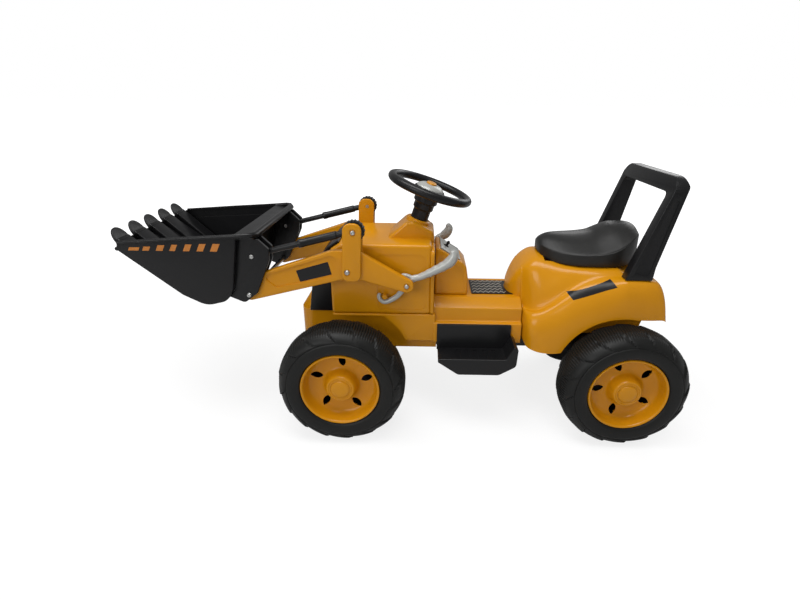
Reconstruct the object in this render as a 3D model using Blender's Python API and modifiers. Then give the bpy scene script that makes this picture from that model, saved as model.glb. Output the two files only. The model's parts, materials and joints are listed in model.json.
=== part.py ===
"""A child's electric ride-on loader, 1:1 in metres, standing on z = 0.

The nose points along -X, the driver's left is -Y, +Z is up, and the origin lies on the
ground under the middle of the toy.  Left and right pieces are made by the same function,
which takes the side as -1 (left) or +1 (right).
"""

import math

import bmesh
import bpy
from mathutils import Matrix, Vector

MM = 0.001

# Clearances
GAP = 0.3 * MM
PIN_PLAY = 0.35 * MM

# Wheels
WHEELBASE = 577 * MM
FRONT_AXLE_X = -131 * MM
TYRE_RADIUS = 130 * MM
TYRE_WIDTH = 86 * MM
TREAD_DEPTH = 2 * MM
TREAD_COLUMNS = 32
WHEEL_Y = 153 * MM
RIM_RADIUS = 80 * MM
RIM_STEPS = 24
RIM_SLOTS = 5
SLOT_REACH = 58 * MM
SLOT_PHASE = {"front": math.radians(15), "rear": math.radians(38)}
AXLE_RADIUS = 5 * MM
AXLE_END = 11 * MM
CAP_RADIUS = 20 * MM

# Steering
KINGPIN_Y = 92 * MM
KINGPIN_RADIUS = 4 * MM
KNUCKLE_RADIUS = 9 * MM
FORK_THICKNESS = 7.5 * MM
FORK_DROP = 27 * MM
STEER_ARM = 42 * MM
STEER_ARM_THICKNESS = 8 * MM
CRANK_ARM = 30 * MM
STEER_PIN_RADIUS = 3.5 * MM
STEER_SLOT_PLAY = 0.9 * MM
TIE_ROD_THICKNESS = 6 * MM
COLUMN_LEAN = math.radians(19)
STEERING_WHEEL_RADIUS = 93 * MM
STEERING_WHEEL_GRIP = 9 * MM
STEERING_WHEEL_CENTRE = Vector((45, 0, 505)) * MM
COLUMN_SEAT = 430 * MM
SHAFT_RADIUS = 5 * MM

# Body
HOOD_HALF_WIDTH = 88 * MM
HOOD_FRONT = -160 * MM
HOOD_BACK = 50 * MM
HOOD_TOP = 405 * MM
HOOD_SEAM = 250 * MM
HOOD_WALL = 4 * MM
HOOD_FLANGE = 6 * MM
BEAM_TOP = 278 * MM
BEAM_BACK = 244.3 * MM
BODY_HALF_WIDTH = 90 * MM
SILL_BOTTOM = 187 * MM
BAY_HALF_WIDTH = 64 * MM
WHEEL_CLEARANCE = 8 * MM
STEER_CLEARANCE = 11 * MM
FRAME_HALF_WIDTH = 52 * MM
FRAME_TOP = 176 * MM
FRAME_BOTTOM = 157.3 * MM
FRAME_WALL = 6 * MM
FRAME_OVERHANG_FRONT = 93 * MM
FRAME_OVERHANG_REAR = 71 * MM
LUG_HALF_TOP = 44 * MM
LUG_HALF_FOOT = 22 * MM
LUG_BELOW_AXLE = 15 * MM
GEARBOX_WIDTH = 51.5 * MM
CONSOLE_HALF_WIDTH = 45 * MM
FENDER_DECK = 346 * MM
POD_FRONT = 219 * MM
POD_NOSE_RADIUS = 44 * MM
SEAT_HINGE = Vector((484, 0, 352)) * MM
SEAT_LUG = 14 * MM
SEAT_PIN_RADIUS = 3 * MM
PEDAL_HINGE = Vector((154, 118, 180)) * MM
PEDAL_INSIDE = 101 * MM
PEDAL_OUTSIDE = 136 * MM
PEDAL_PIN_RADIUS = 2 * MM
PEDAL_LUG = 4.5 * MM
SWITCH_PIN_RADIUS = 1.6 * MM
SWITCH_DEPTH = 5 * MM

# Loader: the two pivots of the arm and the two of the link make a parallelogram
ARM_PIVOT = Vector((-117, 0, 358)) * MM
ARM_TIP = Vector((-316, 0, 307)) * MM
LINK_OFFSET = Vector((14, 0, 82)) * MM
ARM_TAIL = Vector((0, 0, 327)) * MM
EAR_INSIDE = 98 * MM
EAR_THICKNESS = 7 * MM
ARM_THICKNESS = 13.7 * MM
PLATE_THICKNESS = 7.7 * MM
SHAFT_PIN_RADIUS = 5 * MM
BOLT_RADIUS = 4 * MM
BOLT_HEAD_RADIUS = 7 * MM
BOLT_HEAD = 3 * MM
PEG = Vector((-46, 0, 296)) * MM
PEG_RADIUS = 5.5 * MM
PEG_END = 103.5 * MM

# Bucket
BUCKET_HALF_WIDTH = 137 * MM
BUCKET_WALL = 4 * MM
TEETH = 5
TOOTH_PITCH = 54 * MM
TOOTH_WIDTH = 40 * MM

# Places that follow from the sizes above
REAR_AXLE_X = FRONT_AXLE_X + WHEELBASE
AXLE_Z = TYRE_RADIUS
FRONT_ARCH = TYRE_RADIUS + STEER_CLEARANCE
REAR_ARCH = TYRE_RADIUS + WHEEL_CLEARANCE
FORK_TOP = FRAME_BOTTOM - GAP
STEER_ARM_LOW = AXLE_Z - FORK_DROP + FORK_THICKNESS + GAP
TIE_ROD_LOW = STEER_ARM_LOW + STEER_ARM_THICKNESS + 1 * MM
BEAM_FRONT = HOOD_BACK + HOOD_FLANGE + GAP
CONSOLE_FRONT = BEAM_FRONT + 2 * MM
EAR_OUTSIDE = EAR_INSIDE + EAR_THICKNESS
ARM_INSIDE = EAR_OUTSIDE + GAP
ARM_OUTSIDE = ARM_INSIDE + ARM_THICKNESS
PLATE_INSIDE = ARM_OUTSIDE + GAP
PLATE_OUTSIDE = PLATE_INSIDE + PLATE_THICKNESS
LINK_BACK = ARM_PIVOT + LINK_OFFSET
LINK_FRONT = ARM_TIP + LINK_OFFSET
COLUMN_AXIS = Vector((math.sin(COLUMN_LEAN), 0, math.cos(COLUMN_LEAN)))
SIDES = {"left": -1, "right": 1}

YELLOW = (0.56, 0.235, 0.012)
BLACK = (0.014, 0.014, 0.015)
GREY = (0.35, 0.36, 0.34)
SILVER = (0.38, 0.39, 0.37)
STEEL = (0.55, 0.55, 0.56)


def clear_scene():
    for old in list(bpy.data.objects):
        bpy.data.objects.remove(old)


def new_collection(name):
    collection = bpy.data.collections.new(name)
    bpy.context.scene.collection.children.link(collection)
    return collection


def new_material(name, colour, roughness, metallic=0.0):
    material = bpy.data.materials.new(name)
    material.use_nodes = True
    shader = material.node_tree.nodes["Principled BSDF"]
    shader.inputs["Base Color"].default_value = (*colour, 1)
    shader.inputs["Roughness"].default_value = roughness
    shader.inputs["Metallic"].default_value = metallic
    return material


def as_piece(bm, name):
    """Puts a bmesh into the loader's collection as an object with outward faces."""
    bmesh.ops.recalc_face_normals(bm, faces=bm.faces)
    mesh = bpy.data.meshes.new(name)
    bm.to_mesh(mesh)
    bm.free()
    piece = bpy.data.objects.new(name, mesh)
    parts.objects.link(piece)
    return piece


def millimetres(points):
    return [tuple(value * MM for value in point) for point in points]


def rounded(corners, steps=3):
    """Outline through corners (a, b, radius) in millimetres, each radius made an arc."""
    outline = []
    for index, (a, b, radius) in enumerate(corners):
        here = Vector((a, b))
        back = (Vector(corners[index - 1][:2]) - here).normalized()
        ahead = (Vector(corners[(index + 1) % len(corners)][:2]) - here).normalized()
        if not radius:
            outline.append(here * MM)
            continue
        half = back.angle(ahead) / 2
        centre = here + (back + ahead).normalized() * radius / math.sin(half)
        start = here + back * radius / math.tan(half) - centre
        end = here + ahead * radius / math.tan(half) - centre
        first = math.atan2(start.y, start.x)
        turn = math.remainder(math.atan2(end.y, end.x) - first, math.tau)
        for step in range(steps + 1):
            angle = first + turn * step / steps
            outline.append((centre + Vector((math.cos(angle), math.sin(angle))) * radius) * MM)
    return outline


def arc(centre, radius, start, end, steps):
    """Points on a circle about centre (a, b), from start to end in degrees."""
    points = []
    for step in range(steps + 1):
        angle = math.radians(start + (end - start) * step / steps)
        points.append(Vector((centre[0] + radius * math.cos(angle), centre[1] + radius * math.sin(angle))))
    return points


def inset(outline, distance):
    """The outline with each edge moved inwards by distance."""
    area = sum(a[0] * b[1] - b[0] * a[1] for a, b in zip(outline, outline[1:] + outline[:1]))
    sign = 1 if area > 0 else -1
    result = []
    for index, point in enumerate(outline):
        here = Vector(point)
        before = (here - Vector(outline[index - 1])).normalized()
        after = (Vector(outline[(index + 1) % len(outline)]) - here).normalized()
        normal_before = Vector((-before.y, before.x)) * sign
        normal_after = Vector((-after.y, after.x)) * sign
        mitre = (normal_before + normal_after).normalized()
        result.append(here + mitre * distance / mitre.dot(normal_after))
    return result


AXES = {
    "X": Matrix(((0, 0, 1), (1, 0, 0), (0, 1, 0))),
    "Y": Matrix(((1, 0, 0), (0, 0, -1), (0, 1, 0))),
    "Z": Matrix.Identity(3),
}


def slab(name, outline, low, high, across="Y"):
    """A flat outline, extruded from low to high along one world axis."""
    curve = bpy.data.curves.new(name, "CURVE")
    curve.dimensions = "2D"
    curve.fill_mode = "BOTH"
    curve.extrude = abs(high - low) / 2
    spline = curve.splines.new("POLY")
    spline.points.add(len(outline) - 1)
    for point, (a, b) in zip(spline.points, outline):
        point.co = (a, b, 0, 1)
    spline.use_cyclic_u = True
    turn = AXES[across].to_4x4()
    middle = Vector([across == axis for axis in "XYZ"]) * (low + high) / 2
    return meshed(curve, Matrix.Translation(middle) @ turn)


def meshed(curve, matrix):
    """A curve made a closed mesh, with its caps welded and its place in the mesh."""
    guide = bpy.data.objects.new(curve.name, curve)
    parts.objects.link(guide)
    bpy.context.view_layer.update()
    graph = bpy.context.evaluated_depsgraph_get()
    mesh = bpy.data.meshes.new_from_object(guide.evaluated_get(graph))
    mesh.transform(matrix)
    name = curve.name
    bpy.data.objects.remove(guide)
    bm = bmesh.new()
    bm.from_mesh(mesh)
    bmesh.ops.remove_doubles(bm, verts=bm.verts, dist=1e-6)
    bmesh.ops.dissolve_degenerate(bm, edges=bm.edges, dist=5e-6)
    bmesh.ops.dissolve_limit(bm, angle_limit=0.002, verts=bm.verts, edges=bm.edges)
    return as_piece(bm, name)


def tube(name, path, radius, resolution=2):
    """A round tube along path points (x, y, z, share of the radius)."""
    curve = bpy.data.curves.new(name, "CURVE")
    curve.dimensions = "3D"
    curve.bevel_depth = radius
    curve.bevel_resolution = resolution
    curve.use_fill_caps = True
    spline = curve.splines.new("POLY")
    spline.points.add(len(path) - 1)
    for point, (x, y, z, share) in zip(spline.points, path):
        point.co = (x, y, z, 1)
        point.radius = share
    return meshed(curve, Matrix.Identity(4))


def box(name, low, high):
    low = Vector(low)
    high = Vector(high)
    bm = bmesh.new()
    bmesh.ops.create_cube(bm, size=1)
    size = high - low
    bmesh.ops.scale(bm, vec=[abs(value) for value in size], verts=bm.verts)
    bmesh.ops.translate(bm, vec=(low + high) / 2, verts=bm.verts)
    return as_piece(bm, name)


def rod(name, start, end, radius, sides=16):
    """A cylinder from start to end."""
    start = Vector(start)
    along = Vector(end) - start
    bm = bmesh.new()
    bmesh.ops.create_cone(
        bm, cap_ends=True, segments=sides, radius1=radius, radius2=radius, depth=along.length
    )
    turn = along.to_track_quat("Z", "Y").to_matrix()
    bmesh.ops.rotate(bm, matrix=turn, verts=bm.verts)
    bmesh.ops.translate(bm, vec=start + along / 2, verts=bm.verts)
    return as_piece(bm, name)


def turned(name, profile, centre, axis, steps, closed=False):
    """A profile (radius, height) turned about an axis through centre, as a mesh."""
    bm = bmesh.new()
    verts = [bm.verts.new((radius, 0, height)) for radius, height in profile]
    edges = [bm.edges.new(pair) for pair in zip(verts, verts[1:])]
    if closed:
        edges.append(bm.edges.new((verts[-1], verts[0])))
    bmesh.ops.spin(
        bm, geom=verts + edges, cent=(0, 0, 0), axis=(0, 0, 1), angle=math.tau,
        steps=steps, use_merge=True,
    )
    bmesh.ops.remove_doubles(bm, verts=bm.verts, dist=1e-6)
    turn = Vector(axis).to_track_quat("Z", "Y").to_matrix()
    bmesh.ops.rotate(bm, matrix=turn, verts=bm.verts)
    bmesh.ops.translate(bm, vec=centre, verts=bm.verts)
    return as_piece(bm, name)


def soften(piece, width, segments=2, angle=40):
    bevel = piece.modifiers.new("edges", "BEVEL")
    bevel.width = width
    bevel.segments = segments
    bevel.limit_method = "ANGLE"
    bevel.angle_limit = math.radians(angle)
    return piece


def boolean(piece, operation, others):
    for other in others:
        modifier = piece.modifiers.new(other.name, "BOOLEAN")
        modifier.operation = operation
        modifier.object = other
        other.hide_render = True
        other.display_type = "WIRE"
        parts.objects.unlink(other)
        cutters.objects.link(other)
    return piece


def cut(piece, *others):
    return boolean(piece, "DIFFERENCE", others)


def join(piece, *others):
    return boolean(piece, "UNION", others)


def finish(piece, material):
    piece.data.materials.clear()
    piece.data.materials.append(material)
    piece.data.shade_smooth()
    piece.data.set_sharp_from_angle(angle=math.radians(35))
    return piece


def pivot(name, place, pieces):
    """Parents pieces to an empty on their joint's axis, where they stand."""
    empty = bpy.data.objects.new(name, None)
    empty.empty_display_size = 0.02
    empty.location = place
    parts.objects.link(empty)
    for piece in pieces:
        piece.parent = empty
        piece.matrix_parent_inverse = Matrix.Translation(-Vector(place))
    return empty


def at_side(point, y):
    return Vector((point[0], y, point[2]))


def make_wheel(end, name, x, side):
    """Tyre, rim and hub cap, turned about the axle; the outer face looks away from the body."""
    centre = Vector((x, side * WHEEL_Y, AXLE_Z))
    outward = (0, side, 0)
    half = TYRE_WIDTH / 2
    crown = TYRE_RADIUS
    bore = (RIM_RADIUS + GAP) / math.cos(math.pi / TREAD_COLUMNS)
    outer = [
        (bore, half - 7 * MM), (bore + 6 * MM, half - 1 * MM), (crown - 26 * MM, half),
        (crown - 12 * MM, half - 6 * MM), (crown - 3 * MM, half - 19 * MM), (crown, half - 31 * MM),
    ]
    tyre_profile = outer + [(radius, -height) for radius, height in reversed(outer)]
    tyre = turned(f"tyre_{end}_{name}", tyre_profile, centre, outward, TREAD_COLUMNS, closed=True)
    cut_tread(tyre, centre)
    edge = half - 3 * MM
    inner = 7 * MM - half
    hole = AXLE_RADIUS + PIN_PLAY
    rim_profile = [
        (hole, half - 10 * MM), (22 * MM, half - 10 * MM), (27 * MM, half - 13 * MM),
        (31 * MM, half - 32 * MM), (42 * MM, half - 34 * MM), (60 * MM, half - 28 * MM),
        (72 * MM, half - 12 * MM), (76 * MM, edge), (RIM_RADIUS, edge), (RIM_RADIUS, inner),
        (RIM_RADIUS - 3.5 * MM, inner), (RIM_RADIUS - 3.5 * MM, half - 17 * MM), (60 * MM, half - 32 * MM),
        (42 * MM, half - 38 * MM), (17 * MM, half - 38 * MM), (17 * MM, inner), (hole, inner),
    ]
    rim = turned(f"rim_{end}_{name}", rim_profile, centre, outward, RIM_STEPS, closed=True)
    cut(rim, rim_slots(end, name, centre))
    cap_low = half - 10 * MM + GAP
    cap_profile = [
        (0, cap_low + 3.6 * MM), (11 * MM, cap_low + 3.6 * MM), (13 * MM, cap_low + 4.7 * MM),
        (17 * MM, cap_low + 4.7 * MM), (CAP_RADIUS, cap_low + 2.5 * MM), (CAP_RADIUS, cap_low), (0, cap_low),
    ]
    cap = turned(f"hub_cap_{end}_{name}", cap_profile, centre, outward, 18)
    finish(tyre, tyre_black)
    finish(rim, yellow)
    finish(cap, yellow)
    pivot(f"{end}_{name}_wheel_axis", centre, [tyre, rim, cap])


def cut_tread(tyre, centre):
    """Lowers every second column of the crown, so that the tread is serrated."""
    crown = TYRE_RADIUS - 4 * MM
    for vert in tyre.data.vertices:
        across = Vector((vert.co.x - centre.x, 0, vert.co.z - centre.z))
        column = round(math.atan2(across.z, across.x) / math.tau * TREAD_COLUMNS)
        if across.length > crown and column % 2:
            share = 1 - TREAD_DEPTH / across.length
            vert.co.x = centre.x + across.x * share
            vert.co.z = centre.z + across.z * share


def rim_slots(end, name, centre):
    """Lens-shaped cutters through the dish, evenly spaced, each turned a little off the radius."""
    bm = bmesh.new()
    for index in range(RIM_SLOTS):
        angle = math.tau * index / RIM_SLOTS + SLOT_PHASE[end]
        made = bmesh.ops.create_cone(
            bm, cap_ends=True, segments=6, radius1=11 * MM, radius2=11 * MM, depth=70 * MM
        )["verts"]
        bmesh.ops.scale(bm, vec=(1, 0.5, 1), verts=made)
        bmesh.ops.rotate(bm, matrix=Matrix.Rotation(angle + math.radians(35), 3, "Z"), verts=made)
        place = (SLOT_REACH * math.cos(angle), SLOT_REACH * math.sin(angle), 0)
        bmesh.ops.translate(bm, vec=place, verts=made)
    bmesh.ops.rotate(bm, matrix=AXES["Y"], verts=bm.verts)
    bmesh.ops.translate(bm, vec=centre, verts=bm.verts)
    return as_piece(bm, f"rim_slots_{end}_{name}")


def make_axles():
    reach = WHEEL_Y + TYRE_WIDTH / 2 - AXLE_END
    rear = rod("rear_axle", (REAR_AXLE_X, -reach, AXLE_Z), (REAR_AXLE_X, reach, AXLE_Z), AXLE_RADIUS)
    finish(rear, steel)
    make_front_axle()
    for name, side in SIDES.items():
        make_knuckle(name, side)


def make_front_axle():
    """A beam whose ends fork above and below each knuckle."""
    reach = KINGPIN_Y + KNUCKLE_RADIUS
    inner = KINGPIN_Y - KNUCKLE_RADIUS - 5 * MM
    bottom = AXLE_Z - FORK_DROP
    x = FRONT_AXLE_X
    axle = box("front_axle", (x - 12 * MM, -reach, bottom), (x + 12 * MM, reach, FORK_TOP))
    for name, side in SIDES.items():
        hole = rod(
            f"kingpin_hole_{name}",
            (FRONT_AXLE_X, side * KINGPIN_Y, bottom - 5 * MM),
            (FRONT_AXLE_X, side * KINGPIN_Y, FORK_TOP + 5 * MM),
            KINGPIN_RADIUS + PIN_PLAY, 12,
        )
        fork = box(
            f"fork_room_{name}", (x - 20 * MM, side * inner, bottom + FORK_THICKNESS),
            (x + 20 * MM, side * (reach + 10 * MM), FORK_TOP - FORK_THICKNESS),
        )
        cut(axle, fork, hole)
    finish(axle, frame_black)


def make_knuckle(name, side):
    """Kingpin, stub axle and steering arm in one piece."""
    x = FRONT_AXLE_X
    y = side * KINGPIN_Y
    low = STEER_ARM_LOW
    top = FORK_TOP - FORK_THICKNESS - GAP
    knuckle = rod(f"knuckle_{name}", (x, y, low), (x, y, top), KNUCKLE_RADIUS, 12)
    pin_low = AXLE_Z - FORK_DROP + 0.5 * MM
    kingpin = rod(f"kingpin_{name}", (x, y, pin_low), (x, y, FORK_TOP - 0.5 * MM), KINGPIN_RADIUS, 12)
    stub_end = side * (WHEEL_Y + TYRE_WIDTH / 2 - AXLE_END)
    stub = rod(f"stub_{name}", (x, y, AXLE_Z), (x, stub_end, AXLE_Z), AXLE_RADIUS)
    shoulder_end = side * (WHEEL_Y - TYRE_WIDTH / 2 + 6.5 * MM)
    shoulder = rod(f"shoulder_{name}", (x, y, AXLE_Z), (x, shoulder_end, AXLE_Z), 8 * MM, 12)
    arm_outline = arm_plan(x, y)
    arm = slab(f"steer_arm_{name}", arm_outline, low, low + STEER_ARM_THICKNESS, "Z")
    pin_top = TIE_ROD_LOW + TIE_ROD_THICKNESS + 2 * MM
    pin_x = x + STEER_ARM
    pin = rod(
        f"steer_pin_{name}", (pin_x, y, low + 4 * MM), (pin_x, y, pin_top), STEER_PIN_RADIUS, 12
    )
    join(knuckle, kingpin, stub, shoulder, arm, pin)
    finish(knuckle, frame_black)
    pivot(f"knuckle_{name}_axis", (x, y, AXLE_Z), [knuckle])


def arm_plan(x, y):
    """Plan outline of a steering arm, from its kingpin back to its pin."""
    return arc((x + STEER_ARM, y), 7 * MM, -90, 90, 5) + arc((x, y), 7.5 * MM, 90, 270, 5)


def make_tie_rod():
    """A flat bar with a slot for each steering pin and one, further back, for the crank."""
    x = FRONT_AXLE_X + STEER_ARM
    low = TIE_ROD_LOW
    high = low + TIE_ROD_THICKNESS
    end = KINGPIN_Y + 9 * MM
    edge = 10 * MM
    crank_x = crank_pin_x((low + high) / 2)
    tab = crank_x + 17 * MM
    outline = [
        (x - edge, -end), (x + edge, -end), (x + edge, -20 * MM), (tab, -14 * MM), (tab, 14 * MM),
        (x + edge, 20 * MM), (x + edge, end), (x - edge, end),
    ]
    bar = slab("tie_rod", outline, low, high, "Z")
    reach = STEER_PIN_RADIUS + STEER_SLOT_PLAY
    slots = [
        slab(
            f"tie_slot_{name}", slot_plan(x - 2.4 * MM, x + 0.3 * MM, side * KINGPIN_Y, reach),
            low - 5 * MM, high + 5 * MM, "Z",
        )
        for name, side in SIDES.items()
    ]
    crank_slot = slot_plan(crank_x - 5 * MM, crank_x + 5 * MM, 0, reach)
    slots.append(slab("tie_slot_crank", crank_slot, low - 5 * MM, high + 5 * MM, "Z"))
    cut(bar, *slots)
    finish(bar, steel)
    pivot("tie_rod_slide", (x, 0, low), [bar])


def slot_plan(front, back, y, reach):
    """Outline of a slot with round ends that runs along X."""
    return arc((back, y), reach, -90, 90, 4) + arc((front, y), reach, 90, 270, 4)


def shaft_foot():
    """Lowest point of the steering shaft's axis, above the tie rod."""
    drop = (STEERING_WHEEL_CENTRE.z - (AXLE_Z + 13 * MM)) / COLUMN_AXIS.z
    return STEERING_WHEEL_CENTRE - COLUMN_AXIS * drop


def crank_tip():
    backward = Vector((COLUMN_AXIS.z, 0, -COLUMN_AXIS.x))
    return shaft_foot() + backward * CRANK_ARM


def crank_pin_x(z):
    """Where the crank's pin, which is parallel to the shaft, passes the height z."""
    tip = crank_tip()
    return tip.x - COLUMN_AXIS.x * (tip.z - z) / COLUMN_AXIS.z


def make_steering():
    """Steering wheel, its hub cover and horn button, the shaft with its crank, and the column."""
    centre = STEERING_WHEEL_CENTRE
    axis = COLUMN_AXIS
    ring_radius = STEERING_WHEEL_RADIUS - STEERING_WHEEL_GRIP
    profile = [
        (ring_radius + STEERING_WHEEL_GRIP * math.cos(a), STEERING_WHEEL_GRIP * math.sin(a))
        for a in [math.tau * step / 8 for step in range(8, 0, -1)]
    ]
    wheel = turned("steering_wheel", profile, centre, axis, 32, closed=True)
    boss_profile = [
        (0, -1 * MM), (32 * MM, -1 * MM), (34 * MM, -6 * MM), (28 * MM, -16 * MM), (0, -16 * MM),
    ]
    boss = turned("wheel_boss", boss_profile, centre, axis, 20)
    across = Vector((0, 1, 0))
    forward = across.cross(axis)
    spokes = []
    for index, angle in enumerate((0, 90, 180)):
        turn = math.radians(angle)
        direction = across * math.cos(turn) - forward * math.sin(turn)
        spokes.append(make_spoke(index, centre, direction, axis, ring_radius))
    hole = rod("wheel_hole", centre - axis * 30 * MM, centre - axis * 7 * MM, SHAFT_RADIUS + PIN_PLAY, 12)
    join(wheel, boss, *spokes)
    cut(wheel, hole)
    finish(wheel, black)
    low = GAP - 1 * MM
    cover_profile = [(0, 9 * MM), (16 * MM, 8.5 * MM), (26 * MM, 4 * MM), (30 * MM, low), (0, low)]
    cover = turned("hub_cover", cover_profile, centre, axis, 24)
    cut(cover, oval("horn_recess", centre, axis, 2 * MM, 20 * MM, 0.4 * MM))
    finish(cover, grey)
    button = soften(oval("horn_button", centre, axis, 5.5 * MM, 12 * MM, 0), 1.5 * MM, 2)
    finish(button, yellow)
    shaft = make_steering_shaft(centre, axis)
    pivot("steering_axis", centre, [wheel, cover, shaft])
    pivot("horn_axis", centre, [button])
    make_column(centre, axis)


def oval(name, centre, axis, low, high, play):
    """An oval block about the steering axis, from low to high above the wheel's centre."""
    bm = bmesh.new()
    bmesh.ops.create_cone(bm, cap_ends=True, segments=20, radius1=1, radius2=1, depth=1)
    bmesh.ops.scale(bm, vec=(11 * MM + play, 16 * MM + play, high - low), verts=bm.verts)
    turn = Matrix((Vector((0, 1, 0)).cross(axis), Vector((0, 1, 0)), axis)).transposed()
    bmesh.ops.rotate(bm, matrix=turn, verts=bm.verts)
    bmesh.ops.translate(bm, vec=centre + axis * (low + high) / 2, verts=bm.verts)
    return as_piece(bm, name)


def make_spoke(index, centre, direction, axis, reach):
    """A flat spoke from the boss up to the ring."""
    start = centre + direction * 20 * MM - axis * 9 * MM
    end = centre + direction * reach
    along = (end - start).normalized()
    side = axis.cross(direction).normalized()
    bm = bmesh.new()
    bmesh.ops.create_cube(bm, size=1)
    bmesh.ops.scale(bm, vec=((end - start).length, 22 * MM, 6 * MM), verts=bm.verts)
    turn = Matrix((along, side, along.cross(side))).transposed()
    bmesh.ops.rotate(bm, matrix=turn, verts=bm.verts)
    bmesh.ops.translate(bm, vec=(start + end) / 2, verts=bm.verts)
    return as_piece(bm, f"spoke_{index}")


def make_steering_shaft(centre, axis):
    foot = shaft_foot()
    tip = crank_tip()
    shaft = rod("steering_shaft", foot - axis * 3 * MM, centre - axis * 8 * MM, SHAFT_RADIUS, 12)
    crank = rod("crank", foot, tip, 4.5 * MM, 12)
    low_z = TIE_ROD_LOW - 0.5 * MM
    pin = rod("crank_pin", tip + axis * 4 * MM, (crank_pin_x(low_z), 0, low_z), STEER_PIN_RADIUS, 12)
    join(shaft, crank, pin)
    return finish(shaft, steel)


def make_column(centre, axis):
    """The stepped sleeve that stands on the hood round the steering shaft."""
    seat = (COLUMN_SEAT - centre.z) / axis.z + GAP
    hole = SHAFT_RADIUS + 1 * MM
    profile = [
        (hole, -17 * MM), (25 * MM, -17 * MM), (26 * MM, -31 * MM), (22 * MM, -34 * MM),
        (22 * MM, -46 * MM), (19 * MM, -49 * MM), (19 * MM, seat), (hole, seat),
    ]
    column = turned("column_sleeve", profile, centre, axis, 20, closed=True)
    finish(column, black)


def hood_outline():
    front = HOOD_FRONT / MM
    back = HOOD_BACK / MM
    seam = HOOD_SEAM / MM + 0.3
    top = HOOD_TOP / MM
    return rounded([
        (front, seam, 0), (front, top - 15, 12), (front + 22, top, 18), (back, top, 0), (back, seam, 0),
    ])


def make_hood():
    """The front cover: a shell with the steering pod on top and an ear for each loader arm."""
    outline = hood_outline()
    half = HOOD_HALF_WIDTH
    hood = slab("hood", outline, -half, half)
    soften(hood, 9 * MM, 3)
    top = HOOD_TOP / MM
    pod_outline = rounded([
        (-50, top - 7, 0), (-6, top + 33, 12), (12, top + 35, 12), (54, top + 13, 0), (56, top - 10, 0),
        (40, top - 25, 0), (-30, top - 25, 0),
    ])
    pod = soften(slab("steering_pod", pod_outline, -41.5 * MM, 41.5 * MM), 6 * MM, 2)
    flange = slab(
        "hood_flange", rounded([(-90, 253, 0), (-90, top - 9, 16), (90, top - 9, 16), (90, 253, 0)]),
        HOOD_BACK - 2 * MM, HOOD_BACK + HOOD_FLANGE, "X",
    )
    inner = inset(outline, HOOD_WALL)
    inner = [(x, 240 * MM if z < HOOD_SEAM + 8 * MM else z) for x, z in inner]
    hollow = slab("hood_hollow", inner, HOOD_WALL - half, half - HOOD_WALL)
    join(hood, pod, flange)
    for name, side in SIDES.items():
        add_ear(hood, name, side)
    cut(hood, hollow)
    shaft_hole = cross_hole("arm_shaft_hole", ARM_PIVOT, EAR_OUTSIDE, SHAFT_PIN_RADIUS)
    seat = STEERING_WHEEL_CENTRE - COLUMN_AXIS * (STEERING_WHEEL_CENTRE.z - COLUMN_SEAT) / COLUMN_AXIS.z
    column_hole = rod(
        "column_hole", seat - COLUMN_AXIS * 60 * MM, seat + COLUMN_AXIS * 20 * MM,
        SHAFT_RADIUS + 1 * MM, 12,
    )
    seat_cut = rod("column_seat_cut", seat, seat + COLUMN_AXIS * 40 * MM, 19.5 * MM, 20)
    cut(hood, shaft_hole, column_hole, seat_cut)
    finish(hood, yellow)


def upright_outline():
    return rounded([(-128, 339, 13), (-122.5, 457.5, 15), (-86, 457.5, 15), (-91, 339, 13)])


def add_ear(hood, name, side):
    """The inner plate of one upright, its block, and the peg that a lever's hook catches under."""
    low = side * (HOOD_HALF_WIDTH - 3 * MM)
    ear = slab(f"ear_{name}", upright_outline(), side * EAR_INSIDE, side * EAR_OUTSIDE)
    block = slab(
        f"ear_block_{name}", rounded([(-126, 342, 8), (-126, 394, 8), (-88, 394, 8), (-88, 342, 8)]),
        low, side * (EAR_INSIDE + 2 * MM),
    )
    peg = rod(f"peg_{name}", at_side(PEG, low), at_side(PEG, side * PEG_END), PEG_RADIUS, 12)
    hole = side_hole(f"link_hole_{name}", LINK_BACK, side, EAR_INSIDE, EAR_OUTSIDE, BOLT_RADIUS)
    join(hood, block, ear, peg)
    cut(hood, hole)


def make_grille():
    """The black radiator block on the nose, with slats in front and on its sloping top."""
    back = HOOD_FRONT / MM - 0.3
    top = HOOD_TOP / MM
    outline = rounded([
        (back - 49.7, 250.3, 0), (back - 40.7, 313, 6), (back - 22.7, top - 33, 8),
        (back - 2.7, top - 10, 6), (back + 17.3, top + 4, 2), (back + 20.3, top - 0.6, 0),
        (back, top - 14.4, 0), (back, 250.3, 0),
    ])
    grille = slab("grille", outline, -76 * MM, 76 * MM)
    lean = math.atan2(9, 63)
    for index in range(4):
        z = 264 + 13 * index
        x = -210 + (z + 3 - 250.3) * math.tan(lean)
        slot = box(
            f"grille_slot_{index}", Vector((x - 9, -62, z)) * MM, Vector((x + 5, 62, z + 6)) * MM
        )
        cut(grille, slot)
    finish(grille, black)


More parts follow.
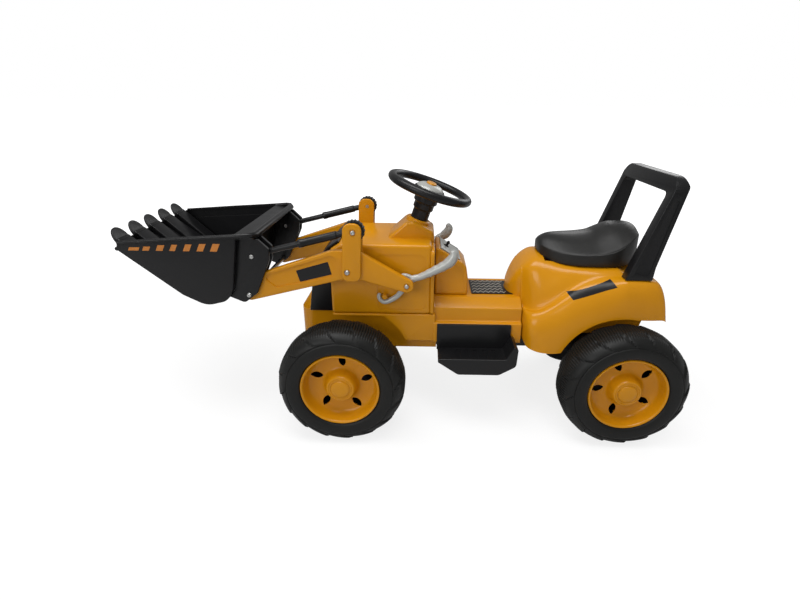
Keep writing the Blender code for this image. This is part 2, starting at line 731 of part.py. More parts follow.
def make_lower_body():
    """Nose, front bay and step beam in one moulding, open below."""
    join_x = HOOD_FRONT / MM
    nose = slab(
        "lower_body",
        rounded([(-234, -64, 26), (-234, 64, 26), (join_x + 6, 64, 0), (join_x + 6, -64, 0)], 4),
        118 * MM, HOOD_SEAM, "Z",
    )
    shoulder = slab(
        "body_shoulder",
        rounded([(join_x, -88, 10), (join_x, 88, 10), (60, 88, 0), (60, -88, 0)]),
        SILL_BOTTOM, HOOD_SEAM, "Z",
    )
    half = [
        (54 * MM, BEAM_TOP), (79 * MM, BEAM_TOP - 16 * MM), (79 * MM, BEAM_TOP - 45 * MM),
        (BODY_HALF_WIDTH, BEAM_TOP - 47 * MM), (BODY_HALF_WIDTH, SILL_BOTTOM),
    ]
    section = half + [(-y, z) for y, z in reversed(half)]
    beam = slab("step_beam", section, BEAM_FRONT, BEAM_BACK, "X")
    join(nose, shoulder, beam)
    circle = arc((FRONT_AXLE_X, AXLE_Z), FRONT_ARCH, 0, 345, 23)
    clipped = [(x, min(z, 246 * MM)) for x, z in circle]
    for name, side in SIDES.items():
        arch = slab(f"arch_cut_{name}", clipped, side * BAY_HALF_WIDTH, side * 140 * MM)
        cut(nose, arch)
    room = FRAME_HALF_WIDTH + 2 * MM
    for index, (low, high, roof) in enumerate((
        (-228, -4, HOOD_SEAM - 4 * MM), (4, 124, HOOD_SEAM - 4 * MM), (132, 240, BEAM_TOP - 4 * MM),
    )):
        cut(nose, box(f"body_room_{index}", (low * MM, -room, 100 * MM), (high * MM, room, roof)))
    frame_room = box("frame_room", (-228 * MM, -room, 100 * MM), (260 * MM, room, FRAME_TOP + GAP))
    passage = box("shaft_passage", (-62 * MM, -18 * MM, 240 * MM), (-24 * MM, 18 * MM, 260 * MM))
    cut(nose, frame_room, passage)
    finish(nose, yellow)


def make_console():
    """The dash block behind the hood, the grey panel on its slope and the direction switch."""
    front = CONSOLE_FRONT / MM
    low = BEAM_TOP / MM + 0.3
    outline = rounded([
        (front, low, 0), (front, 384, 0), (66, 384, 6), (116, 353, 8), (126, 341, 6), (130, 316, 0),
        (130, low, 0),
    ])
    console = slab("dash_console", outline, -CONSOLE_HALF_WIDTH, CONSOLE_HALF_WIDTH)
    soften(console, 4 * MM, 2)
    top = Vector((66, 0, 384)) * MM
    slope = (Vector((116, 0, 353)) * MM - top).normalized()
    normal = Vector((-slope.z, 0, slope.x))
    corners = [
        top + slope * 3 * MM + normal * GAP, top + slope * 53 * MM + normal * GAP,
        top + slope * 53 * MM + normal * 3 * MM, top + slope * 3 * MM + normal * 3 * MM,
    ]
    panel = slab("dash_panel", [(p.x, p.z) for p in corners], -38 * MM, 38 * MM)
    place = top + slope * 18 * MM
    hinge = place - normal * SWITCH_DEPTH
    for piece in (console, panel):
        bottom = place - normal * 12 * MM
        hole = rod(f"switch_hole_{piece.name}", bottom, place + normal * 8 * MM, 7.4 * MM, 16)
        cut(piece, hole)
    cut(console, cross_hole("switch_pin_hole", hinge, 5.5 * MM, SWITCH_PIN_RADIUS))
    finish(console, yellow)
    finish(panel, grey)
    switch = rod("direction_switch", place - normal * 8 * MM, place + normal * 1.4 * MM, 5.6 * MM, 12)
    path = [(*(place - normal * 2 * MM), 1), (*(place + normal * 12 * MM), 0.8)]
    pin = rod(
        "switch_pin", at_side(hinge, -10 * MM), at_side(hinge, 10 * MM), SWITCH_PIN_RADIUS, 12
    )
    join(switch, tube("switch_lever", path, 3.4 * MM), pin)
    finish(switch, black)
    pivot("switch_axis", hinge, [switch])


def make_underframe():
    """The channel that carries both axles and rests under the body's ribs."""
    front = FRONT_AXLE_X - FRAME_OVERHANG_FRONT
    back = REAR_AXLE_X + FRAME_OVERHANG_REAR
    lug = AXLE_Z - LUG_BELOW_AXLE
    outline = [
        (front, FRAME_BOTTOM), (REAR_AXLE_X - LUG_HALF_TOP, FRAME_BOTTOM),
        (REAR_AXLE_X - LUG_HALF_FOOT, lug), (REAR_AXLE_X + LUG_HALF_FOOT, lug),
        (REAR_AXLE_X + LUG_HALF_TOP, FRAME_BOTTOM + 2.7 * MM), (back, FRAME_BOTTOM + 2.7 * MM),
        (back, FRAME_TOP), (front, FRAME_TOP),
    ]
    frame = slab("underframe", outline, -FRAME_HALF_WIDTH, FRAME_HALF_WIDTH)
    room = FRAME_HALF_WIDTH - FRAME_WALL
    reach = FRAME_HALF_WIDTH + 18 * MM
    channel = box(
        "channel", (front - 6 * MM, -room, lug - 25 * MM), (back + 3 * MM, room, FRAME_TOP - 4 * MM)
    )
    bore = rod(
        "rear_axle_bore", (REAR_AXLE_X, -reach, AXLE_Z), (REAR_AXLE_X, reach, AXLE_Z), AXLE_RADIUS + PIN_PLAY
    )
    cross = STEERING_WHEEL_CENTRE - COLUMN_AXIS * (STEERING_WHEEL_CENTRE.z - FRAME_TOP) / COLUMN_AXIS.z
    reach = COLUMN_AXIS * 20 * MM
    shaft_hole = rod("frame_shaft_hole", cross - reach, cross + reach, 7 * MM, 12)
    cut(frame, channel, bore, shaft_hole)
    finish(frame, frame_black)


def make_drive():
    """Gearbox on the rear axle, its motor, and the battery under the seat."""
    x = REAR_AXLE_X / MM
    z = AXLE_Z / MM
    inner = -FRAME_HALF_WIDTH - 0.5 * MM
    outer = inner - GEARBOX_WIDTH
    outline = rounded([
        (x - 29, z - 12, 6), (x - 6, z - 24, 8), (x + 24, z - 24, 8), (x + 36, z - 10, 8),
        (x + 36, z + 35, 4), (x - 29, z + 35, 4),
    ])
    gearbox = slab("gearbox", outline, outer, inner)
    bore = rod(
        "gearbox_bore", (REAR_AXLE_X, outer - 16 * MM, AXLE_Z), (REAR_AXLE_X, inner + 12 * MM, AXLE_Z),
        AXLE_RADIUS + PIN_PLAY,
    )
    cut(gearbox, bore)
    finish(gearbox, black)
    motor_profile = [(0, 54 * MM), (12 * MM, 54 * MM), (14 * MM, 52 * MM), (14 * MM, 0), (0, 0)]
    flange = Vector(((x - 29) * MM - GAP, (inner + outer) / 2 - 1.75 * MM, (z + 10) * MM))
    motor = turned("motor", motor_profile, flange, (-1, 0, 0), 16)
    finish(motor, steel)
    battery = box("battery", Vector((270, -44, 176.3)) * MM, Vector((340, 44, 268)) * MM)
    finish(soften(battery, 3 * MM, 1), frame_black)


REAR_STATIONS = (
    (219, 330, (3, 330), (5, 328), (6, 322), (6, 312),
     (6, 303), (6, 295), (6, 287), (6, 278.3)),
    (220.7, 338, (9, 338), (14, 334), (17.9, 322), (17.9, 312),
     (17.9, 303), (17.9, 295), (17.9, 287), (17.9, 278.3)),
    (224, 351, (14, 351), (21, 346), (26, 332), (26.4, 315),
     (26.4, 305), (26.4, 296), (26.4, 287), (26.4, 278.3)),
    (230, 365, (20, 364), (29, 358), (34.5, 341), (35.1, 320),
     (35.1, 306), (35.1, 297), (35.1, 288), (35.1, 278.3)),
    (237, 376, (26, 375), (36, 368), (41, 348), (41.5, 324),
     (41.5, 308), (41.5, 298), (41.5, 288), (41.5, 278.3)),
    (244.4, 382, (31, 381), (41, 373), (45.5, 350), (46, 325),
     (46, 308), (46, 298), (46, 288), (46, 278.3)),
    (244.6, 382, (31, 381), (41, 373), (46, 345), (50, 300),
     (53, 280), (55, 262), (57, 232), (57, 196)),
    (246.5, 382.5, (32, 381.5), (42, 373), (48, 330), (52, 262),
     (60, 262), (72, 256), (80, 230), (72, 200)),
    (249, 384, (33, 383), (44, 372), (50, 330), (56, 258),
     (74, 264), (96, 257), (109, 229), (102, 196)),
    (253, 385, (35, 384), (46, 371), (52, 330), (60, 255),
     (82, 264), (106, 258), (119, 230), (114, 192)),
    (262, 386.5, (38, 385.5), (50, 366), (60, 322), (74, 256),
     (94, 268), (112, 262), (125, 232), (122, 189)),
    (276, 381.5, (42, 380.5), (55, 357), (68, 312), (86, 260),
     (102, 272), (116, 262), (127, 232), (129, 187)),
    (294, 374, (49, 373), (60, 345), (73, 311), (89, 273),
     (104, 281), (117, 268), (128, 236), (131.5, 186)),
    (312, 366, (56, 365), (67, 348), (78, 322), (90.5, 292),
     (104, 294), (118, 278), (129, 243), (132, 187)),
    (333, 360.5, (62, 360), (72, 351), (82, 335), (91.5, 312),
     (104, 311), (118, 295), (129, 256), (132, 192)),
    (355, 357, (67, 356.7), (78, 350), (85, 341), (92, 328),
     (104, 325), (118, 308), (129, 268), (132, 205)),
    (380, 356.7, (70, 356.7), (81, 352.5), (88, 347), (92.5, 339),
     (104, 334), (118, 318), (129, 280), (132, 220)),
    (408, 356.7, (73, 356.7), (82, 353.5), (89, 350), (93, 345),
     (105, 341), (118, 328), (129, 290), (132, 235)),
    (434, 356.7, (74, 356.7), (82, 354), (89, 350), (93.5, 346),
     (106, 346), (119, 346), (129.5, 322), (132, 250)),
    (441, 356.7, (74, 356.7), (82, 354), (89, 350), (93.5, 346),
     (106, 346), (119, 346), (129.5, 322), (132, 262)),
    (446, 346, (74, 346), (82, 346), (89, 346), (93.5, 346),
     (106, 346), (119, 346), (129.5, 322), (132, 266)),
    (491, 346, (74, 346), (82, 346), (89, 346), (93.5, 346),
     (106, 346), (119, 346), (129.5, 322), (132, 266)),
    (505, 343, (72, 343), (80, 343), (88, 343), (93, 343),
     (105, 342.5), (117, 340), (128.5, 316), (131, 266)),
    (514, 335, (70, 335), (78, 335), (86, 335), (92, 335),
     (104, 333.5), (115, 329), (127, 309), (130.5, 266)),
    (520, 324, (69, 324), (77, 324), (85, 324), (91, 323),
     (103, 320), (113, 316), (125, 302), (129.5, 265)),
    (524, 308, (68, 308), (76, 308), (84, 307), (90, 306),
     (102, 303), (112, 300), (123, 290), (128.5, 263)),
    (526.5, 286, (68, 286), (76, 286), (84, 285), (90, 284),
     (101, 283), (110, 281), (120, 277), (127, 261)),
)


def bridged(name, rings, bm):
    """A closed body through rings of vertices, each with the same count."""
    count = len(rings[0])
    for ring in rings:
        for index, vert in enumerate(ring):
            bm.edges.new((vert, ring[(index + 1) % count]))
    for before, after in zip(rings, rings[1:]):
        edges = [
            bm.edges.get((ring[i], ring[(i + 1) % count])) for ring in (before, after) for i in range(count)
        ]
        bmesh.ops.bridge_loops(bm, edges=edges)
    for ring in (rings[0], rings[-1]):
        bmesh.ops.contextual_create(bm, geom=ring)
    return as_piece(bm, name)


def make_rear_body():
    """The rear moulding: a seat pod that flows out into a fender over each wheel."""
    bm = bmesh.new()
    rings = []
    for x, top, *half in REAR_STATIONS:
        section = [(0, top), *half, *[(-y, z) for y, z in reversed(half)]]
        rings.append([bm.verts.new((x * MM, y * MM, z * MM)) for y, z in section])
    body = bridged("rear_body", rings, bm)
    base_outline = millimetres([(262, 203), (262, 236), (400, 300), (511, 300), (515, 262), (500, 203)])
    base = slab("rear_base", base_outline, -69 * MM, 69 * MM)
    join(body, base)
    for name, side in SIDES.items():
        ear = slab(
            f"seat_ear_{name}", rounded([(477, 332, 0), (477, 356, 5), (491, 356, 5), (491, 330, 0)]),
            side * (SEAT_LUG + GAP), side * (SEAT_LUG + 8 * MM),
        )
        join(body, ear)
    wheel_room = arc((REAR_AXLE_X, AXLE_Z), REAR_ARCH, 0, 345, 23)
    for name, side in SIDES.items():
        cut(body, slab(f"wheel_room_{name}", wheel_room, side * 84 * MM, side * 150 * MM))
    room = FRAME_HALF_WIDTH + 2 * MM
    axle = REAR_AXLE_X
    cut(
        body,
        box("frame_room_rear", (200 * MM, -room, 100 * MM), (560 * MM, room, FRAME_TOP + GAP)),
        box("drive_room", (axle - 66 * MM, -room, 150 * MM), (axle + 54 * MM, room, 250 * MM)),
        box("battery_room", (264 * MM, -room, 150 * MM), (346 * MM, room, 300 * MM)),
        box("seat_room", (290 * MM, -48 * MM, 290 * MM), (410 * MM, 48 * MM, 400 * MM)),
        cross_hole("seat_pin_hole", SEAT_HINGE, 35 * MM, SEAT_PIN_RADIUS),
    )
    finish(body, yellow)


def seat_ring(bm, x, half_width, bottom, edge, middle):
    """One cross-section of the seat, at x: its bottom, the rim at its sides and its middle."""
    half = [
        (half_width * 0.9, bottom), (half_width, bottom + (edge - bottom) * 0.5), (half_width * 0.93, edge),
        (half_width * 0.5, middle),
    ]
    section = half + [(0, middle)] + [(-y, z) for y, z in reversed(half)] + [(0, bottom)]
    return [bm.verts.new((x * MM, y * MM, z * MM)) for y, z in section]


def make_seat():
    """A moulded saddle, lofted through cross-sections, with the hinge at its back."""
    bm = bmesh.new()
    sections = (
        (257, 16, 392, 399, 402), (262, 27, 389.6, 403, 406), (276, 44, 383.6, 406, 411),
        (312, 62, 367.4, 402, 407), (362, 76, 357.9, 396, 399), (412, 80, 357.4, 402, 401),
        (446, 74, 357.4, 424, 416), (470, 58, 358, 438, 436), (488, 34, 362, 434, 434),
    )
    rings = [seat_ring(bm, *section) for section in sections]
    seat = bridged("seat", rings, bm)
    smooth = seat.modifiers.new("smooth", "SUBSURF")
    smooth.levels = 1
    smooth.render_levels = 1
    finish(seat, black)
    lug_outline = rounded([(478, 348, 4), (478, 375, 0), (488, 375, 0), (490, 348, 4)])
    lug = slab("seat_lug", lug_outline, -SEAT_LUG, SEAT_LUG)
    join(seat, lug)
    cut(seat, cross_hole("seat_lug_hole", SEAT_HINGE, SEAT_LUG, SEAT_PIN_RADIUS))
    reach = SEAT_LUG + 7.5 * MM
    pin = rod("seat_hinge_pin", at_side(SEAT_HINGE, -reach), at_side(SEAT_HINGE, reach), SEAT_PIN_RADIUS, 12)
    finish(pin, steel)
    pivot("seat_axis", SEAT_HINGE, [seat])


def make_backrest():
    """The bar behind the seat: two leaning posts and a cross piece, cut from one side profile."""
    low = FENDER_DECK / MM + 0.3
    side_outline = rounded([
        (435, low, 0), (446, 377, 10), (496, 525, 10), (504, 550, 8), (519, 554.5, 8), (526, 535, 10),
        (491, 373, 8), (489, low, 0),
    ])
    bar = soften(slab("backrest_bar", side_outline, -118 * MM, 118 * MM), 3 * MM, 1)
    outer = slab(
        "backrest_front_view",
        rounded([(-118.5, 330, 0), (-118.5, 552, 22), (118.5, 552, 22), (118.5, 330, 0)], 5),
        400 * MM, 560 * MM, "X",
    )
    opening = slab(
        "backrest_opening", rounded([(-96, 330, 0), (-96, 519, 8), (96, 519, 8), (96, 330, 0)]),
        380 * MM, 580 * MM, "X",
    )
    boolean(bar, "INTERSECT", [outer])
    cut(bar, opening)
    finish(bar, black)


def make_footrest(name, side):
    """Side panel and foot tray in one moulding, hung on the beam's side."""
    face = side * (BODY_HALF_WIDTH + GAP)
    tray = slab(
        f"footrest_{name}",
        rounded([(66, 176, 0), (66, 168, 0), (108, 139, 12), (194, 139, 16), (229, 160, 12), (231, 200, 6),
                 (222, 206, 0), (206, 176, 4)]),
        face, side * 144 * MM,
    )
    soften(tray, 3 * MM, 1)
    panel = slab(
        f"side_panel_{name}", millimetres([(64, 172), (222, 170), (222, 231), (64, 231)]), face,
        side * (BODY_HALF_WIDTH + 6 * MM),
    )
    join(tray, panel)
    if side == SIDES["right"]:
        add_pedal_lugs(tray)
    finish(tray, black)


def add_pedal_lugs(tray):
    """Two lugs on the tray that hold the ends of the pedal's pin."""
    lug_outline = rounded([(148, 170, 0), (148, 185, 5), (160, 185, 5), (160, 170, 0)])
    join(
        tray,
        slab("pedal_lug_inner", lug_outline, PEDAL_INSIDE - GAP - 2 * PEDAL_LUG, PEDAL_INSIDE - GAP),
        slab("pedal_lug_outer", lug_outline, PEDAL_OUTSIDE + GAP, PEDAL_OUTSIDE + GAP + PEDAL_LUG),
    )
    low = PEDAL_INSIDE - PEDAL_LUG
    high = PEDAL_OUTSIDE + PEDAL_LUG + 5 * MM
    cut(tray, rod(
        "pedal_pin_hole", at_side(PEDAL_HINGE, low), at_side(PEDAL_HINGE, high),
        PEDAL_PIN_RADIUS + PIN_PLAY, 12,
    ))


def make_pedal():
    """The accelerator on the right tray, hinged at its heel on its own pin."""
    outline = rounded([(90, 193, 1), (156, 177.5, 2), (156, 182.5, 2), (90, 198, 1)])
    pedal = slab("pedal", outline, PEDAL_INSIDE, PEDAL_OUTSIDE)
    reach = PEDAL_LUG - 1 * MM
    pin = rod(
        "pedal_pin", at_side(PEDAL_HINGE, PEDAL_INSIDE - reach),
        at_side(PEDAL_HINGE, PEDAL_OUTSIDE + reach), PEDAL_PIN_RADIUS, 12,
    )
    join(pedal, pin)
    finish(pedal, black)
    pivot("pedal_axis", PEDAL_HINGE, [pedal])


def make_step_plate():
    """The grip plate on the beam, its back edge round like the pod's front."""
    centre = POD_FRONT + POD_NOSE_RADIUS
    reach = POD_NOSE_RADIUS + 1.2 * MM
    back = arc((centre, -6 * MM), reach, -135, -180, 5) + arc((centre, 6 * MM), reach, 180, 135, 5)
    outline = [(140 * MM, back[0].y), *back, (140 * MM, back[-1].y)]
    plate = slab("step_plate", outline, BEAM_TOP + GAP, BEAM_TOP + 3 * MM, "Z")
    finish(plate, black)


def make_uprights(name, side):
    """The outer plate of each upright and the bolt at its top."""
    upright = slab(f"upright_{name}", upright_outline(), side * PLATE_INSIDE, side * PLATE_OUTSIDE)
    soften(upright, 1.5 * MM, 1)
    for label, place, radius in (("low", ARM_PIVOT, SHAFT_PIN_RADIUS), ("top", LINK_BACK, BOLT_RADIUS)):
        cut(upright, side_hole(
            f"upright_{label}_hole_{name}", place, side, PLATE_INSIDE, PLATE_OUTSIDE, radius
        ))
    finish(upright, yellow)
    make_bolt(f"rod_bolt_{name}", LINK_BACK, side, EAR_INSIDE, PLATE_OUTSIDE + GAP)


def cross_hole(name, place, reach, radius):
    """A cutter across the whole toy for a pin of the given radius."""
    reach += 5 * MM
    return rod(name, at_side(place, -reach), at_side(place, reach), radius + PIN_PLAY, 12)


def side_hole(name, place, side, inside, outside, radius):
    """A cutter through one plate at the given side for a pin of the given radius."""
    low = side * (inside - 5 * MM)
    high = side * (outside + 5 * MM)
    return rod(name, at_side(place, low), at_side(place, high), radius + PIN_PLAY, 12)


def make_bolt(name, place, side, inside, outside):
    """A round-headed bolt across one side of the loader."""
    profile = [
        (0, outside + BOLT_HEAD), (BOLT_HEAD_RADIUS * 0.7, outside + BOLT_HEAD * 0.9),
        (BOLT_HEAD_RADIUS, outside + BOLT_HEAD * 0.3), (BOLT_HEAD_RADIUS, outside), (BOLT_RADIUS, outside),
        (BOLT_RADIUS, inside), (0, inside),
    ]
    return finish(turned(name, profile, at_side(place, 0), (0, side, 0), 12), steel)


def headed_shaft(name, place, reach):
    """A steel shaft across the loader with a round head at each end."""
    half = [
        (0, reach + BOLT_HEAD), (BOLT_HEAD_RADIUS * 0.7, reach + BOLT_HEAD * 0.9),
        (BOLT_HEAD_RADIUS, reach + BOLT_HEAD * 0.3), (BOLT_HEAD_RADIUS, reach),
        (SHAFT_PIN_RADIUS, reach),
    ]
    profile = half + [(radius, -height) for radius, height in reversed(half)]
    return finish(turned(name, profile, at_side(place, 0), (0, 1, 0), 12), steel)


def arm_outline():
    """Side view of a loader arm: broad at the bucket, bent over its pivot, narrow at its tail."""
    tip = (ARM_TIP.x / MM, ARM_TIP.z / MM)
    tail = (ARM_TAIL.x / MM, ARM_TAIL.z / MM)
    front = [(p.x, p.y, 0) for p in arc(tip, 15, 150, 275, 6)]
    back = [(p.x, p.y, 0) for p in arc(tail, 14, -115, 60, 8)]
    corners = front + [(-131, 339, 16), (-93, 340, 16)] + back
    corners += [(-91, 397, 16), (-128, 401, 10), (-150, 400, 20), (-286, 353, 16)]
    return rounded(corners)


def make_arm(name, side):
    """One dog-leg loader arm, with a shallow panel in its front half."""
    arm = slab(f"arm_{name}", arm_outline(), side * ARM_INSIDE, side * ARM_OUTSIDE)
    soften(arm, 1.5 * MM, 1)
    recess = slab(
        f"arm_recess_{name}",
        rounded([
            (-262, 322, 5), (-284, 340, 6), (-272, 350, 5), (-150, 392, 6), (-138, 384, 6), (-146, 345, 6),
        ]),
        side * (ARM_OUTSIDE - 1.6 * MM), side * (ARM_OUTSIDE + 5 * MM),
    )
    cut(arm, recess)
    for label, place, radius in (
        ("tip", ARM_TIP, SHAFT_PIN_RADIUS), ("pivot", ARM_PIVOT, SHAFT_PIN_RADIUS),
        ("tail", ARM_TAIL, BOLT_RADIUS),
    ):
        cut(arm, side_hole(f"arm_{label}_hole_{name}", place, side, ARM_INSIDE, ARM_OUTSIDE, radius))
    return finish(arm, yellow)


def make_link(name, side):
    """One link of the parallelogram: a thin rod in a thicker sleeve with a ribbed round end."""
    y = side * (ARM_INSIDE + ARM_OUTSIDE) / 2
    back = at_side(LINK_BACK, y)
    front = at_side(LINK_FRONT, y)
    along = (back - front).normalized()
    joint = front + along * (back - front).length * 0.45
    half = ARM_THICKNESS / 2 - GAP
    rib = [(20.5 * MM, half), (22 * MM, half - 1.5 * MM), (22 * MM, 1 * MM), (20.5 * MM, 0)]
    mirrored = [(radius, -height) for radius, height in reversed(rib[:3])]
    drum_profile = [(0, half), *rib, *mirrored, (0, -half)]
    drum = turned(f"rod_sleeve_{name}", drum_profile, back, (0, side, 0), 20)
    neck = rod(f"sleeve_neck_{name}", joint + along * 40 * MM, back, half, 12)
    sleeve = rod(f"sleeve_tube_{name}", joint, back - along * 25 * MM, 8 * MM, 12)
    bore_end = joint + along * 30 * MM
    socket = rod(f"sleeve_bore_{name}", joint - along * 5 * MM, bore_end, 6 * MM + GAP, 12)
    bolt_hole = side_hole(f"sleeve_hole_{name}", back, side, ARM_INSIDE, ARM_OUTSIDE, BOLT_RADIUS)
    join(drum, neck, sleeve)
    cut(drum, socket, bolt_hole)
    finish(drum, black)
    eye = rod(f"rod_inner_{name}", at_side(front, y - half), at_side(front, y + half), 11 * MM, 16)
    thin = rod(f"thin_rod_{name}", front, joint + along * 25 * MM, 6 * MM, 12)
    eye_hole = side_hole(f"eye_hole_{name}", front, side, ARM_INSIDE, ARM_OUTSIDE, BOLT_RADIUS)
    join(eye, thin)
    cut(eye, eye_hole)
    finish(eye, black)
    pivot(f"rod_{name}_axis", back, [drum, eye])


def make_lever(name, side):
    """A hand lever: its hook catches under the peg, its grip rises beside the dash."""
    hook_y = side * 96.8 * MM
    grip_y = side * 101 * MM
    route = (
        (-57.3, 301.5, 3.6), (-58.2, 295, 4.3), (-55, 287.5, 4.5), (-48, 283.2, 4.8), (-40, 284.5, 5),
        (-31, 289, 5.2), (-20, 297, 5.4), (-9, 311, 6), (0, 327, 7), (12, 335.5, 7), (26, 340, 7),
        (42, 348, 8), (58, 357, 9), (74, 366, 10), (87, 376, 11), (93, 388, 9.5), (91, 398, 6),
    )
    path = []
    for x, z, radius in route:
        share = min(max((x - 20) / 40, 0), 1)
        path.append((x * MM, hook_y + (grip_y - hook_y) * share, z * MM, radius))
    lever = tube(f"lever_{name}", path, 1 * MM)
    prong_path = [(12 * MM, hook_y, 337 * MM, 6), (-9 * MM, hook_y, 344.5 * MM, 4)]
    prong = tube(f"lever_prong_{name}", prong_path, 1 * MM)
    inside = side * (HOOD_HALF_WIDTH + 1 * MM)
    outside = side * (ARM_INSIDE - 0.6 * MM)
    boss = rod(f"lever_boss_{name}", at_side(ARM_TAIL, inside), at_side(ARM_TAIL, outside), 11 * MM, 16)
    hole = side_hole(f"lever_hole_{name}", ARM_TAIL, side, HOOD_HALF_WIDTH, ARM_INSIDE, BOLT_RADIUS)
    join(lever, boss, prong)
    cut(lever, hole)
    finish(lever, silver)
    pivot(f"lever_{name}_axis", at_side(ARM_TAIL, hook_y), [lever])


def make_arms():
    """Both loader arms with their levers and links, and the shafts that join them."""
    pieces = []
    for name, side in SIDES.items():
        pieces.append(make_arm(name, side))
        pieces.append(make_bolt(
            f"lever_bolt_{name}", ARM_TAIL, side, HOOD_HALF_WIDTH + 1 * MM, ARM_OUTSIDE + GAP
        ))
        make_lever(name, side)
        make_link(name, side)
        make_uprights(name, side)
    pieces.append(headed_shaft("bucket_shaft", ARM_TIP, PLATE_OUTSIDE + GAP))
    headed_shaft("boom_shaft", ARM_PIVOT, PLATE_OUTSIDE + GAP)
    pivot("boom_axis", ARM_PIVOT, pieces)


def bucket_outline():
    """Side view of the bucket: lip, rim, back wall, round bottom and sloping floor."""
    return rounded([
        (-558, 402, 0), (-555, 418, 0), (-442, 425, 0), (-331, 432, 0), (-324, 432, 0), (-343, 318, 30),
        (-360, 296, 24), (-400, 286, 40), (-445, 309, 30),
    ], 3)


def make_bucket():
    """The bucket: a thin shell with a rolled rim, teeth, floor ribs and two hinge brackets a side."""
    half = BUCKET_HALF_WIDTH
    outline = bucket_outline()
    bucket = soften(slab("bucket", outline, -half, half), 3 * MM, 1)
    inner = inset(outline, BUCKET_WALL)
    inner = [(x, z + 40 * MM if z > 404 * MM else z) for x, z in inner]
    hollow = slab("bucket_hollow", inner, BUCKET_WALL - half, half - BUCKET_WALL)
    rim_y = half - 1.5 * MM
    corner = rim_y - 14 * MM
    half_rim = [
        (-553, rim_y, 417, 3.5), (-440, rim_y, 425.5, 3.5), (-331, rim_y, 432.5, 4),
        (-306, rim_y, 434, 5), (-292, corner, 431.5, 7),
    ]
    rim_path = [(x, -y, z, radius) for x, y, z, radius in half_rim] + half_rim[::-1]
    rim = tube("bucket_rim", [(x * MM, y, z * MM, radius) for x, y, z, radius in rim_path], 1 * MM)
    flange = slab(
        "bucket_flange", millimetres([(-331, 428), (-292, 428), (-292, 434), (-331, 434)]), 1 * MM - half,
        half - 1 * MM,
    )
    lip_half = half - 1 * MM
    lip = rod("bucket_lip", (-557 * MM, -lip_half, 404 * MM), (-557 * MM, lip_half, 404 * MM), 4 * MM, 10)
    join(bucket, flange, rim, lip)
    for name, side in SIDES.items():
        for label, inside, outside in (
            ("inner", EAR_INSIDE, EAR_OUTSIDE), ("outer", PLATE_INSIDE, PLATE_OUTSIDE)
        ):
            bracket = slab(
                f"bracket_{label}_{name}",
                rounded([(-287, 424, 4), (-267, 404, 8), (-270, 378, 14), (-299, 311, 12), (-326, 290, 10),
                         (-356, 303, 0), (-342, 330, 0), (-326, 424, 0), (-310, 430, 0)]),
                side * inside, side * outside,
            )
            join(bucket, bracket)
    cut(bucket, hollow)
    join(bucket, bucket_teeth(), floor_ribs())
    cut(
        bucket,
        cross_hole("bucket_shaft_hole", ARM_TIP, half, SHAFT_PIN_RADIUS),
        cross_hole("link_bolt_hole", LINK_FRONT, half, BOLT_RADIUS),
    )
    finish(bucket, black)
    bolts = [
        make_bolt(f"link_bolt_{name}", LINK_FRONT, side, EAR_INSIDE, PLATE_OUTSIDE + GAP)
        for name, side in SIDES.items()
    ]
    pivot("bucket_axis", ARM_TIP, [bucket, *bolts])


def bucket_teeth():
    """Five round tongues that rise from the front lip, leaning outwards."""
    bm = bmesh.new()
    slope = Vector((-18, 0, 30)).normalized()
    for index in range(TEETH):
        y = (index - (TEETH - 1) / 2) * TOOTH_PITCH
        made = bmesh.ops.create_cone(
            bm, cap_ends=True, segments=16, radius1=TOOTH_WIDTH / 2, radius2=TOOTH_WIDTH / 2, depth=5 * MM
        )["verts"]
        bmesh.ops.scale(bm, vec=(1.3, 1, 1), verts=made)
        turn = Matrix((slope, Vector((0, 1, 0)), slope.cross(Vector((0, 1, 0))))).transposed()
        bmesh.ops.rotate(bm, matrix=turn, verts=made)
        bmesh.ops.translate(bm, vec=Vector((-560.5 * MM, y, 416 * MM)), verts=made)
    return as_piece(bm, "bucket_teeth")


def floor_ribs():
    """A low rib behind each tooth, down the sloping floor."""
    bm = bmesh.new()
    start = Vector((-552, 0, 403.5)) * MM
    end = Vector((-462, 0, 329)) * MM
    along = (end - start).normalized()
    turn = Matrix((along, Vector((0, 1, 0)), along.cross(Vector((0, 1, 0))))).transposed()
    for index in range(TEETH):
        y = (index - (TEETH - 1) / 2) * TOOTH_PITCH
        made = bmesh.ops.create_cube(bm, size=1)["verts"]
        bmesh.ops.scale(bm, vec=((end - start).length, 9 * MM, 6 * MM), verts=made)
        bmesh.ops.rotate(bm, matrix=turn, verts=made)
        bmesh.ops.translate(bm, vec=(start + end) / 2 + Vector((0, y, 0)), verts=made)
    return as_piece(bm, "floor_ribs")


clear_scene()
parts = new_collection("ride_on_loader")
cutters = new_collection("cutters")
yellow = new_material("yellow_plastic", YELLOW, 0.3)
black = new_material("black_plastic", BLACK, 0.4)
frame_black = new_material("frame_black", BLACK, 0.55)
tyre_black = new_material("tyre_black", BLACK, 0.6)
grey = new_material("grey_plastic", GREY, 0.35)
steel = new_material("steel", STEEL, 0.3, 1.0)
silver = new_material("silver_plastic", SILVER, 0.35)

make_hood()
make_grille()
make_lower_body()
make_console()
make_underframe()
make_drive()
make_rear_body()
make_seat()
make_backrest()
make_step_plate()
make_pedal()
for side_name, side_sign in SIDES.items():
    make_footrest(side_name, side_sign)
    make_wheel("front", side_name, FRONT_AXLE_X, side_sign)
    make_wheel("rear", side_name, REAR_AXLE_X, side_sign)
make_axles()
make_tie_rod()
make_steering()
make_arms()
make_bucket()
